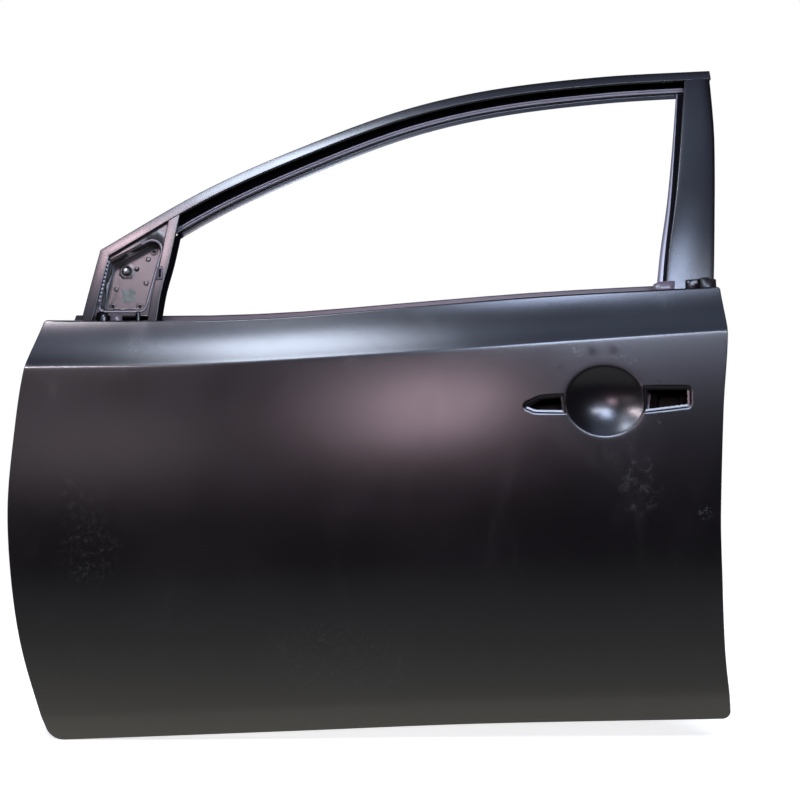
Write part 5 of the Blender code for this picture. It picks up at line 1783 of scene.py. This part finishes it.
    def seat_frame(self, x: float, z: float, inwards: float) -> Tuple[Vector, Vector]:
        """Point of the flat seat and the way out of the dish there."""
        normal = Vector(self.plane_normal)
        return Vector((x, float(self.plane(x, z)), z)) + normal * inwards, -normal

    def build(self) -> None:
        """Makes the frame, the plate, the collar round the stud, the pin's button, caps and the pad."""
        s = self.sizes
        self.frame_sheet()
        self.plate_sheet()
        for number, nut in enumerate(s.nuts):
            foot, out = self.seat_frame(*nut, s.seat + 0.0013 + s.nut_height)
            name = f"mirror_nut_cap_{number + 1}"
            self.pieces[name] = Workshop.turned(
                name, foot, out, [(0.0, -0.0010), (0.0040, -0.0010), (0.0043, -0.0007), (0.0043, 0.0),
                                  (0.0, 0.0)])
        foot, out = self.seat_frame(*s.stud, s.seat)
        self.pieces["mirror_stud_collar"] = Workshop.turned(
            "mirror_stud_collar", foot, out,
            [(0.0, -0.0015), (0.0052, -0.0015), (0.0062, -0.0006), (0.0062, 0.0004), (0.0050, 0.0011),
             (0.0040, 0.0008), (0.0, 0.0008)])
        self.pieces["mirror_stud_tip"] = Workshop.turned(
            "mirror_stud_tip", foot, out,
            [(0.0, 0.0), (0.0034, 0.0), (0.0034, 0.0068), (0.0030, 0.0080), (0.0022, 0.0086),
             (0.0, 0.0088)])
        foot, out = self.seat_frame(*s.pin, s.seat)
        self.pieces["mirror_locating_button"] = Workshop.turned(
            "mirror_locating_button", foot, out,
            [(0.0, 0.0), (0.0030, 0.0), (0.0029, 0.0026), (0.0022, 0.0034), (0.0, 0.0037)])
        side, cosine, sine = s.pad_size, math.cos(s.pad_turn), math.sin(s.pad_turn)
        corners = [(s.pad[0] + side * (dx * cosine - dz * sine),
                    s.pad[1] + side * (dx * sine + dz * cosine), 0.001)
                   for dx, dz in ((-1, -1), (1, -1), (1, 1), (-1, 1))]
        outline = [p[:2] for p in Outline.rounded(corners, 3)]
        points, normals = [], []
        for x, z in outline + [s.pad]:
            place, out = self.seat_frame(x, z, s.seat - 0.0004)
            points.append(place)
            normals.append(-out)
        count = len(outline)
        faces = [(i, (i + 1) % count, count) for i in range(count)]
        self.pieces["mirror_pad"] = Workshop.closed_piece("mirror_pad", np.array(points), np.array(normals),
                                                          faces, 0.0003)

    def dress(self, steel: bpy.types.Material, primer: bpy.types.Material, pad: bpy.types.Material,
              painted_highlight: bpy.types.Material) -> None:
        """Finishes the mounting.

        Args:
            steel: Finish of the stud's tip.
            primer: Finish of the collar and the button.
            pad: Finish of the pad.
            painted_highlight: Pale primer that paints a highlight on the bead's outward-facing ridge beside
                the bar and at the foot.
        """
        Workshop.finish(self.pieces["mirror_stud_tip"], steel, Slot.STEEL)
        for name, piece in self.pieces.items():
            if name.startswith("fine_") or "_cap_" in name:
                Workshop.finish(piece, primer, Slot.PRIMER)
        drawn = self.pieces["fine_mirror_frame"]
        drawn.data.materials.append(painted_highlight)
        middles = np.array([tuple(face.center) for face in drawn.data.polygons]) - np.array(DATUM)
        within = Outline.depth_inside(self.rim, middles[:, 0], middles[:, 2])
        # The outward-facing ridge of the bead at the rear and the foot gets the pale primer as a painted
        # highlight.
        rear_or_low = (middles[:, 0] > 0.152) | (middles[:, 2] < 0.512)
        painted_highlight_ridge = (within < -0.0008) & (within > -0.0030) & rear_or_low
        for face, bright in zip(drawn.data.polygons, painted_highlight_ridge):
            if bright and face.normal.y < -0.3:
                face.material_index = 1
        Workshop.finish(self.pieces["mirror_stud_collar"], primer, Slot.PRIMER)
        Workshop.finish(self.pieces["mirror_locating_button"], primer, Slot.PRIMER)
        Workshop.finish(self.pieces["mirror_pad"], pad, Slot.PRIMER)


@dataclass(frozen=True)
class FootPlate:
    """One small plate on the window frame, most of them at its feet above the belt."""

    name: str
    corners: Tuple[Tuple[float, float, float], ...]
    inwards: float
    swell: float
    coat: Coat
    slot: Optional[Tuple[Tuple[float, float, float], ...]] = None


class FrameFeet:
    """The small plates at the feet of the window frame and the clip of the division bar."""

    def __init__(self, form: DoorForm, plates: Sequence[FootPlate]) -> None:
        """Stores the form and the plates.

        Args:
            form: The door's surfaces.
            plates: What to make.
        """
        self.form = form
        self.plates = plates
        self.pieces: List[bpy.types.Object] = []

    def build(self) -> None:
        """Makes the plates, each with a rolled edge and a slight swell."""
        for plate in self.plates:
            outline = [p[:2] for p in Outline.rounded(plate.corners, 5)]

            def surface(x: np.ndarray, z: np.ndarray, edge: Sequence[Flat] = outline,
                        plate: FootPlate = plate) -> np.ndarray:
                """Outer face of the plate.

                Args:
                    x: Places along the door.
                    z: Levels.
                    edge: The plate's outline.
                    plate: The plate.

                Returns:
                    The face's depth there.
                """
                inside = Outline.depth_inside(edge, x, z)
                rolled = 0.0009 * (1 - soft_step((inside + 0.0006) / 0.0014))
                swell = plate.swell * soft_step(inside / 0.0040)
                return self.form.frame(x, z) + plate.inwards + rolled - swell

            sheet = Sheet(surface)
            outer = sheet.line(Outline.stepped(outline, 0.0015))
            holes = []
            if plate.slot:
                holes.append(sheet.line([p[:2] for p in Outline.rounded(plate.slot, 3)]))
            for sunk in (0.0006, 0.0012, 0.0020, 0.0030):
                ring = Outline.stepped(Outline.inset(outline, sunk), 0.0015)
                sheet.scatter(ring, 0.0004)
            points, normals, faces, _ = sheet.cover(outer, holes)
            self.pieces.append(Workshop.closed_piece(plate.name, points, normals, faces, 0.0010))

    def dress(self, finishes: Dict[Coat, bpy.types.Material]) -> None:
        """Finishes the plates."""
        for plate, piece in zip(self.plates, self.pieces):
            Workshop.finish(piece, finishes[plate.coat], Slot.PRIMER)


@dataclass(frozen=True)
class WeldRow:
    """A row of weld marks along a line on a surface."""

    name: str
    points: Tuple[Tuple[float, float, float], ...]
    facing: Tuple[float, float, float]
    spacing: float
    radius: float
    height: float = 0.0004
    seed: int = 1
    coat: Coat = Coat.INNER


class WeldMarks:
    """Weld marks grown along their rows with Geometry Nodes."""

    def __init__(self, rows: Sequence[WeldRow]) -> None:
        """Stores the rows."""
        self.rows = rows
        self.pieces: List[bpy.types.Object] = []

    @staticmethod
    def tree() -> bpy.types.GeometryNodeTree:
        """Node tree that sets one domed mark at each step of a line.

        Returns:
            The node tree.
        """
        made = bpy.data.node_groups.new("weld_row", "GeometryNodeTree")
        face = made.interface
        face.new_socket("Geometry", in_out="INPUT", socket_type="NodeSocketGeometry")
        for label in ("Spacing", "Radius", "Height"):
            face.new_socket(label, in_out="INPUT", socket_type="NodeSocketFloat")
        face.new_socket("Facing", in_out="INPUT", socket_type="NodeSocketVector")
        face.new_socket("Seed", in_out="INPUT", socket_type="NodeSocketInt")
        face.new_socket("Geometry", in_out="OUTPUT", socket_type="NodeSocketGeometry")
        add, join = made.nodes.new, made.links.new
        source, target = add("NodeGroupInput"), add("NodeGroupOutput")
        curve, steps = add("GeometryNodeMeshToCurve"), add("GeometryNodeResampleCurve")
        steps.mode = "LENGTH"
        join(source.outputs["Geometry"], curve.inputs["Mesh"])
        join(curve.outputs["Curve"], steps.inputs["Curve"])
        join(source.outputs["Spacing"], steps.inputs["Length"])
        dome, shape = add("GeometryNodeMeshUVSphere"), add("GeometryNodeTransform")
        dome.inputs["Segments"].default_value = 18
        dome.inputs["Rings"].default_value = 8
        dome.inputs["Radius"].default_value = 1.0
        size = add("ShaderNodeCombineXYZ")
        for axis, label in (("X", "Radius"), ("Y", "Radius"), ("Z", "Height")):
            join(source.outputs[label], size.inputs[axis])
        join(dome.outputs["Mesh"], shape.inputs["Geometry"])
        join(size.outputs["Vector"], shape.inputs["Scale"])
        aim, vary, place = (add("FunctionNodeAlignEulerToVector"), add("FunctionNodeRandomValue"),
                            add("GeometryNodeInstanceOnPoints"))
        aim.axis = "Z"
        join(source.outputs["Facing"], aim.inputs["Vector"])
        vary.data_type = "FLOAT"
        low = next(i for i in vary.inputs if i.name == "Min" and i.type == "VALUE")
        high = next(i for i in vary.inputs if i.name == "Max" and i.type == "VALUE")
        low.default_value, high.default_value = 0.82, 1.12
        join(source.outputs["Seed"], vary.inputs["Seed"])
        join(steps.outputs["Curve"], place.inputs["Points"])
        join(shape.outputs["Geometry"], place.inputs["Instance"])
        join(aim.outputs["Rotation"], place.inputs["Rotation"])
        value = next(o for o in vary.outputs if o.type == "VALUE")
        join(value, place.inputs["Scale"])
        real = add("GeometryNodeRealizeInstances")
        join(place.outputs["Instances"], real.inputs["Geometry"])
        join(real.outputs["Geometry"], target.inputs["Geometry"])
        return made

    def build(self) -> None:
        """Grows every row and keeps its result as a plain mesh."""
        tree = self.tree()
        sockets = {item.name: item.identifier for item in tree.interface.items_tree
                   if item.item_type == "SOCKET" and item.in_out == "INPUT"}
        for row in self.rows:
            mesh = bpy.data.meshes.new(row.name)
            count = len(row.points)
            places = [tuple(Vector(p) + DATUM) for p in row.points]
            mesh.from_pydata(places, [(i, i + 1) for i in range(count - 1)], [])
            piece = bpy.data.objects.new(row.name, mesh)
            bpy.context.scene.collection.objects.link(piece)
            grow = piece.modifiers.new("weld_row", "NODES")
            grow.node_group = tree
            grow[sockets["Spacing"]] = row.spacing
            grow[sockets["Radius"]] = row.radius
            grow[sockets["Height"]] = row.height
            grow[sockets["Facing"]] = row.facing
            grow[sockets["Seed"]] = row.seed
            bpy.context.view_layer.update()
            deps = bpy.context.evaluated_depsgraph_get()
            grown = bpy.data.meshes.new_from_object(piece.evaluated_get(deps))
            piece.modifiers.remove(grow)
            piece.data = grown
            grown.shade_smooth()
            self.pieces.append(piece)

    def dress(self, finishes: Dict[Coat, bpy.types.Material]) -> None:
        """Finishes the marks."""
        for row, piece in zip(self.rows, self.pieces):
            Workshop.finish(piece, finishes[row.coat], Slot.PRIMER)


class CarriedOver:
    """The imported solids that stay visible, with their finishes."""

    def __init__(self, nodes: Dict[str, bpy.types.Object]) -> None:
        """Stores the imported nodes."""
        self.nodes = nodes

    def dress(self, finishes: Dict[Coat, bpy.types.Material], steel: bpy.types.Material) -> None:
        """Gives each node the finish of its group.

        Args:
            finishes: One material for each coat.
            steel: Material of the plated parts.
        """
        frame_nodes = ("header_sash", "header_run_channel", "pillar_cover", "rear_run_channel",
                       "division_bar", "front_run_channel", "outer_panel")
        dish_nodes = ("mirror_frame", "mirror_plate", "mirror_foot_bracket")
        for name, node in self.nodes.items():
            if "nut" in name or "stud" in name:
                Workshop.finish(node, steel)
            elif name in frame_nodes:
                Workshop.finish(node, finishes[Coat.FRAME])
            elif name in dish_nodes:
                Workshop.finish(node, finishes[Coat.DISH])
            # The inner belt reinforcement gets the reddish coat, a painted warm reflection.
            elif name == "inner_belt_reinforcement":
                Workshop.finish(node, finishes[Coat.PAINTED_WARM_REFLECTION])
            # The handle reinforcement seen through the seat's holes gets the near-black coat, painted
            # shade.
            elif name == "handle_reinforcement":
                Workshop.finish(node, finishes[Coat.PAINTED_SHADE])
            else:
                Workshop.finish(node, finishes[Coat.INNER])


@dataclass(frozen=True)
class Panel:
    """One soft lamp of the studio."""

    name: str
    place: Tuple[float, float, float]
    target: Tuple[float, float, float]
    size: Flat
    power: float
    colour: Tuple[float, float, float]
    lights: Optional[str] = None


class Studio:
    """Floor, lamps, surroundings and camera."""

    lamps: Tuple[Panel, ...] = (
        Panel("shoulder_lamp", (-0.08, -1.38, 2.26), (0.40, -0.05, 0.10), (0.64, 0.70), 52.0,
              (0.74, 0.83, 1.0)),
        Panel("left_ceiling", (-1.45, -2.90, 2.90), (0.10, 0.0, 0.1), (2.4, 2.2), 30.0,
              (0.62, 0.68, 1.0)),
        Panel("right_ceiling", (1.50, -2.60, 3.00), (0.90, 0.0, 0.1), (2.6, 2.2), 11.0,
              (0.50, 0.64, 1.0)),
        Panel("high_right", (1.00, -1.45, 3.00), (0.90, 0.0, 0.4), (2.2, 1.1), 7.0, (0.52, 0.64, 1.0)),
        Panel("pink_upper", (-0.79, -2.27, 2.28), (0.14, -0.03, 0.25), (0.44, 0.34), 26.0,
              (1.0, 0.74, 0.82), "frame"),
        Panel("pink_near", (-0.16, -0.76, 0.88), (0.14, -0.03, 0.26), (0.18, 0.12), 1.2,
              (1.0, 0.66, 0.72), "frame"),
        Panel("crease_left", (-1.13, -2.43, 1.42), (0.12, -0.07, 0.06), (0.50, 0.30), 42.0,
              (1.0, 0.90, 0.98), "skin"),
        Panel("shoulder_low", (-0.08, -2.04, 1.70), (0.42, -0.05, 0.10), (0.50, 0.35), 4.0,
              (0.74, 0.83, 1.0)),
        Panel("cool_upper", (1.06, -2.60, 1.66), (1.00, -0.03, 0.18), (0.80, 0.46), 40.0,
              (0.58, 0.70, 1.0)),
        Panel("bowl_strip", (1.42, -2.60, 1.24), (0.89, -0.07, -0.03), (1.35, 0.22), 44.0,
              (0.72, 0.80, 1.0)),
        Panel("warm_wall", (0.42, -4.00, 0.55), (0.60, -0.08, -0.04), (0.70, 0.50), 20.0,
              (1.0, 0.73, 0.86)),
        Panel("left_wall", (-1.40, -4.00, 0.26), (0.15, 0.0, -0.02), (1.3, 0.7), 6.2, (1.0, 0.84, 0.94)),
        Panel("right_wall", (1.75, -4.00, 1.05), (0.95, 0.0, 0.0), (1.2, 0.6), 5.0, (0.70, 0.70, 1.0)),
        Panel("back_fill", (0.2, 3.2, 1.8), (0.55, 0.0, 0.0), (3.0, 2.0), 34.0, (0.86, 0.90, 1.0)),
    )
    room_strength = 0.013
    floor_white = 0.72
    floor_glow = 1.30
    floor_fade = -4.2
    eye = (0.574, -2.082, -0.018)
    lens = 58.44

    def __init__(self, groups: Dict[str, Sequence[bpy.types.Object]]) -> None:
        """Gathers the groups of pieces that some lamps light alone.

        Args:
            groups: Pieces by the name of their group.
        """
        self.groups: Dict[str, bpy.types.Collection] = {}
        for name, pieces in groups.items():
            self.groups[name] = bpy.data.collections.new(name)
            for piece in pieces:
                self.groups[name].objects.link(piece)

    def build(self) -> None:
        """Builds the studio."""
        self.surroundings()
        self.floor()
        for lamp in self.lamps:
            self.lamp(lamp)
        self.camera()

    def surroundings(self) -> None:
        """White for the camera, and a dim room for everything else."""
        world = bpy.data.worlds.new("studio")
        bpy.context.scene.world = world
        world.use_nodes = True
        tree = world.node_tree
        tree.nodes.clear()
        seen, room = tree.nodes.new("ShaderNodeBackground"), tree.nodes.new("ShaderNodeBackground")
        seen.inputs["Color"].default_value = (1.0, 1.0, 1.0, 1.0)
        room.inputs["Color"].default_value = (0.90, 0.92, 1.0, 1.0)
        room.inputs["Strength"].default_value = self.room_strength
        path, mix = tree.nodes.new("ShaderNodeLightPath"), tree.nodes.new("ShaderNodeMixShader")
        out = tree.nodes.new("ShaderNodeOutputWorld")
        tree.links.new(path.outputs["Is Camera Ray"], mix.inputs[0])
        tree.links.new(room.outputs[0], mix.inputs[1])
        tree.links.new(seen.outputs[0], mix.inputs[2])
        tree.links.new(mix.outputs[0], out.inputs[0])

    def floor(self) -> None:
        """Pale floor under the door's lowest edge, which lights the door softly from below."""
        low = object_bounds()[0][2] - 0.0006
        mesh = bpy.data.meshes.new("studio_floor")
        mesh.from_pydata([(-2.6, -1.15, low), (3.8, -1.15, low), (3.8, 1.6, low), (-2.6, 1.6, low)], [],
                         [(0, 1, 2, 3)])
        floor = bpy.data.objects.new("studio_floor", mesh)
        bpy.context.scene.collection.objects.link(floor)
        w = Weave("studio_floor")
        haze = w.noise(3.0, 3.0, 0.5)
        pale = w.mix(w.band(haze, 0.3, 0.7), (0.90, 0.90, 0.89, 1.0), (0.93, 0.93, 0.93, 1.0))
        seen = w.tree.nodes.new("ShaderNodeLightPath").outputs["Is Camera Ray"]
        w.link(w.mix(seen, (0.20, 0.20, 0.18, 1.0), pale), w.shader.inputs["Base Color"])
        w.link(w.mix(seen, (1.0, 0.97, 0.84, 1.0), (1.0, 1.0, 1.0, 1.0)),
               w.shader.inputs["Emission Color"])
        away = w.math("ABSOLUTE", w.forward)
        fade = w.math("POWER", 2.0, w.math("MULTIPLY", away, self.floor_fade))
        glow = w.math("MULTIPLY", fade, self.floor_glow)
        unseen = w.math("MULTIPLY", w.math("SUBTRACT", 1.0, seen), glow)
        w.link(w.math("MAXIMUM", w.math("MULTIPLY", seen, self.floor_white), unseen),
               w.shader.inputs["Emission Strength"])
        w.shader.inputs["Roughness"].default_value = 0.9
        w.shader.inputs["Specular IOR Level"].default_value = 0.0
        mesh.materials.append(w.material)
        floor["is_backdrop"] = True

    def lamp(self, panel: Panel) -> None:
        """Adds one soft lamp that faces the door.

        Args:
            panel: The lamp.
        """
        way = Vector(panel.place) - Vector(panel.target)
        light = bpy.data.lights.new(panel.name, "AREA")
        light.shape = "RECTANGLE"
        light.size, light.size_y = panel.size
        light.energy = panel.power
        light.color = panel.colour
        made = bpy.data.objects.new(panel.name, light)
        made.location = panel.place
        made.rotation_euler = way.to_track_quat("Z", "Y").to_euler()
        bpy.context.scene.collection.objects.link(made)
        if panel.lights:
            made.light_linking.receiver_collection = self.groups[panel.lights]

    def camera(self) -> None:
        """Adds the camera at the photograph's place."""
        camera = bpy.data.cameras.new("studio_camera")
        camera.sensor_width = 36.0
        camera.lens = self.lens
        camera.clip_start = 0.05
        made = bpy.data.objects.new("studio_camera", camera)
        made.location = self.eye
        made.rotation_euler = (math.radians(90.0), 0.0, 0.0)
        bpy.context.scene.collection.objects.link(made)
        bpy.context.scene.camera = made
        bpy.context.scene.view_settings.view_transform = "Standard"


PANEL_MARKS = (
    Mark((0.945, -0.148), (0.040, 0.055), 60.0, 0.07, 0.3),
    Mark((1.045, -0.192), (0.016, 0.014), 160.0, 0.16),
    Mark((0.095, 0.068), (0.130, 0.022), 240.0, 0.06),
    Mark((0.848, 0.058), (0.012, 0.014), 260.0, 0.16, 0.9),
    Mark((0.905, 0.050), (0.028, 0.005), 300.0, 0.16),
    Mark((0.225, -0.135), (0.046, 0.024), 5.0, 0.012),
    Mark((0.090, -0.260), (0.060, 0.060), 120.0, 0.05),
    Mark((0.080, -0.170), (0.050, 0.090), 75.0, 0.035, 0.4),
    Mark((0.920, 0.045), (0.040, 0.014), 180.0, 0.06),
    Mark((0.480, -0.420), (0.170, 0.080), 200.0, 0.03),
)

# Plates with the reddish coat show a painted warm reflection.
FOOT_PLATES = (
    FootPlate("pillar_foot_plate",
              ((1.0265, 0.5290, 0.001), (1.0265, 0.5525, 0.002), (1.0505, 0.5545, 0.002),
               (1.0505, 0.5290, 0.001)), -0.0034, 0.0, Coat.FRAME,
              ((1.0377, 0.5480, 0.0006), (1.0377, 0.5512, 0.0006), (1.0440, 0.5515, 0.0006),
               (1.0440, 0.5483, 0.0006))),
    FootPlate("pillar_foot_clip",
              ((1.0495, 0.5290, 0.001), (1.0495, 0.5560, 0.002), (1.0640, 0.5570, 0.002),
               (1.0655, 0.5535, 0.001), (1.0750, 0.5540, 0.002), (1.0750, 0.5290, 0.001)),
              -0.0042, 0.0, Coat.INNER),
    FootPlate("rear_run_foot_step",
              ((0.9740, 0.5290, 0.001), (0.9760, 0.5455, 0.002), (0.9860, 0.5500, 0.003),
               (1.0090, 0.5515, 0.003), (1.0125, 0.5480, 0.001), (1.0125, 0.5290, 0.001)),
              -0.0020, 0.0, Coat.PAINTED_WARM_REFLECTION),
    FootPlate("leg_foot_tab",
              ((0.0840, 0.4800, 0.001), (0.0855, 0.5030, 0.003), (0.0960, 0.5050, 0.003),
               (0.1045, 0.5010, 0.002), (0.1050, 0.4800, 0.001)), -0.0006, 0.0008, Coat.FRAME),
    FootPlate("mirror_foot_tab",
              ((0.1075, 0.4800, 0.001), (0.1083, 0.4975, 0.003), (0.1150, 0.5005, 0.003),
               (0.1270, 0.4985, 0.003), (0.1290, 0.4800, 0.001)), -0.0010, 0.0010, Coat.PAINTED_WARM_REFLECTION),
    FootPlate("bar_clip_lip",
              ((0.1800, 0.5555, 0.001), (0.1805, 0.5775, 0.001), (0.1895, 0.5795, 0.001),
               (0.1900, 0.5570, 0.001)), -0.0016, 0.0006, Coat.PAINTED_WARM_REFLECTION,
              ((0.1835, 0.5600, 0.0006), (0.1838, 0.5745, 0.0006), (0.1880, 0.5750, 0.0006),
               (0.1878, 0.5605, 0.0006))),
    # A dark plate behind the clip's slot, standing in for the shade in the slot: painted shade.
    FootPlate("bar_clip_mouth",
              ((0.1825, 0.5592, 0.0006), (0.1828, 0.5755, 0.0006), (0.1889, 0.5758, 0.0006),
               (0.1887, 0.5595, 0.0006)), -0.0013, 0.0, Coat.PAINTED_SHADE),
    FootPlate("mirror_foot_post",
              ((0.1487, 0.4800, 0.001), (0.1490, 0.5040, 0.002), (0.1560, 0.5045, 0.002),
               (0.1575, 0.4800, 0.001)), -0.0010, 0.0010, Coat.FRAME),
)

WELD_ROWS = (
    # The mirror leg's welds take the pale primer as a painted highlight.
    WeldRow("mirror_leg_welds", ((0.1035, 0.0950, 0.585), (0.0905, 0.0890, 0.522)), (-0.05, -0.97, 0.22),
            0.0062, 0.0019, 0.0009, 1, Coat.PAINTED_HIGHLIGHT),
    WeldRow("latch_wall_welds", ((1.0523, 0.022, 0.42), (1.0523, 0.022, 0.00)), (1.0, 0.0, 0.0),
            0.055, 0.0032, 0.0004, 4),
    WeldRow("hinge_wall_welds", ((-0.0003, 0.112, 0.415), (-0.0003, 0.112, -0.005)), (-1.0, 0.0, 0.0),
            0.050, 0.0032, 0.0004, 7),
)


def main() -> None:
    """Builds the dressed door in order and logs each piece."""
    logging.basicConfig(level=logging.INFO)
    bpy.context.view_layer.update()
    form = DoorForm(DoorSizes(), HandleSizes())
    finishes = {
        Coat.PANEL: PrimerFinish(Coat.PANEL, marks=PANEL_MARKS).build(),
        Coat.FRAME: PrimerFinish(Coat.FRAME, gloss=0.24, dust=0.03, peel=0.00001).build(),
        # Painted shade: near-black primer with little sheen.
        Coat.PAINTED_SHADE: PrimerFinish(Coat.PAINTED_SHADE, colour=(0.0016, 0.0015, 0.0021), gloss=0.34, sheen=0.05,
                                   dust=0.05).build(),
        Coat.DISH: PrimerFinish(Coat.DISH, colour=(0.020, 0.018, 0.017), gloss=0.30, dust=0.9).build(),
        Coat.INNER: PrimerFinish(Coat.INNER, colour=(0.010, 0.008, 0.0085), gloss=0.36, dust=0.5).build(),
        # Painted highlight: pale primer.
        Coat.PAINTED_HIGHLIGHT: PrimerFinish(Coat.PAINTED_HIGHLIGHT, colour=(0.24, 0.23, 0.26), gloss=0.30, sheen=0.8,
                                  dust=0.3).build(),
        # Painted warm reflection: reddish primer.
        Coat.PAINTED_WARM_REFLECTION: PrimerFinish(Coat.PAINTED_WARM_REFLECTION, colour=(0.085, 0.066, 0.076), gloss=0.32, sheen=0.6,
                                dust=0.4).build(),
    }
    steel = SteelFinish("plated_steel_fixings").build()
    tip = SteelFinish("pale_stud_tip", (0.62, 0.62, 0.60), 0.45, 0.35).build()
    pad = PadFinish("pale_pad").build()

    skin = OuterSkin(form)
    skin.build()
    skin.dress(finishes[Coat.PANEL])
    window = WindowFrame(form, FrameSizes())
    window.build()
    window.dress(finishes)
    dish = MirrorDish(form, MirrorSizes())
    dish.build()
    dish.dress(tip, finishes[Coat.DISH], pad, finishes[Coat.PAINTED_HIGHLIGHT])
    feet = FrameFeet(form, FOOT_PLATES)
    feet.build()
    feet.dress(finishes)
    welds = WeldMarks(WELD_ROWS)
    welds.build()
    welds.dress(finishes)
    CarriedOver(frame["nodes"]).dress(finishes, steel)
    for piece in bpy.context.scene.objects:
        if piece.type == "MESH":
            LOG.info("%s: %d faces", piece.name, len(piece.data.polygons))
    framing = [*window.pieces.values(), *dish.pieces.values()]
    Studio({"frame": framing, "skin": [skin.piece]}).build()


if __name__ == "__main__":
    main()
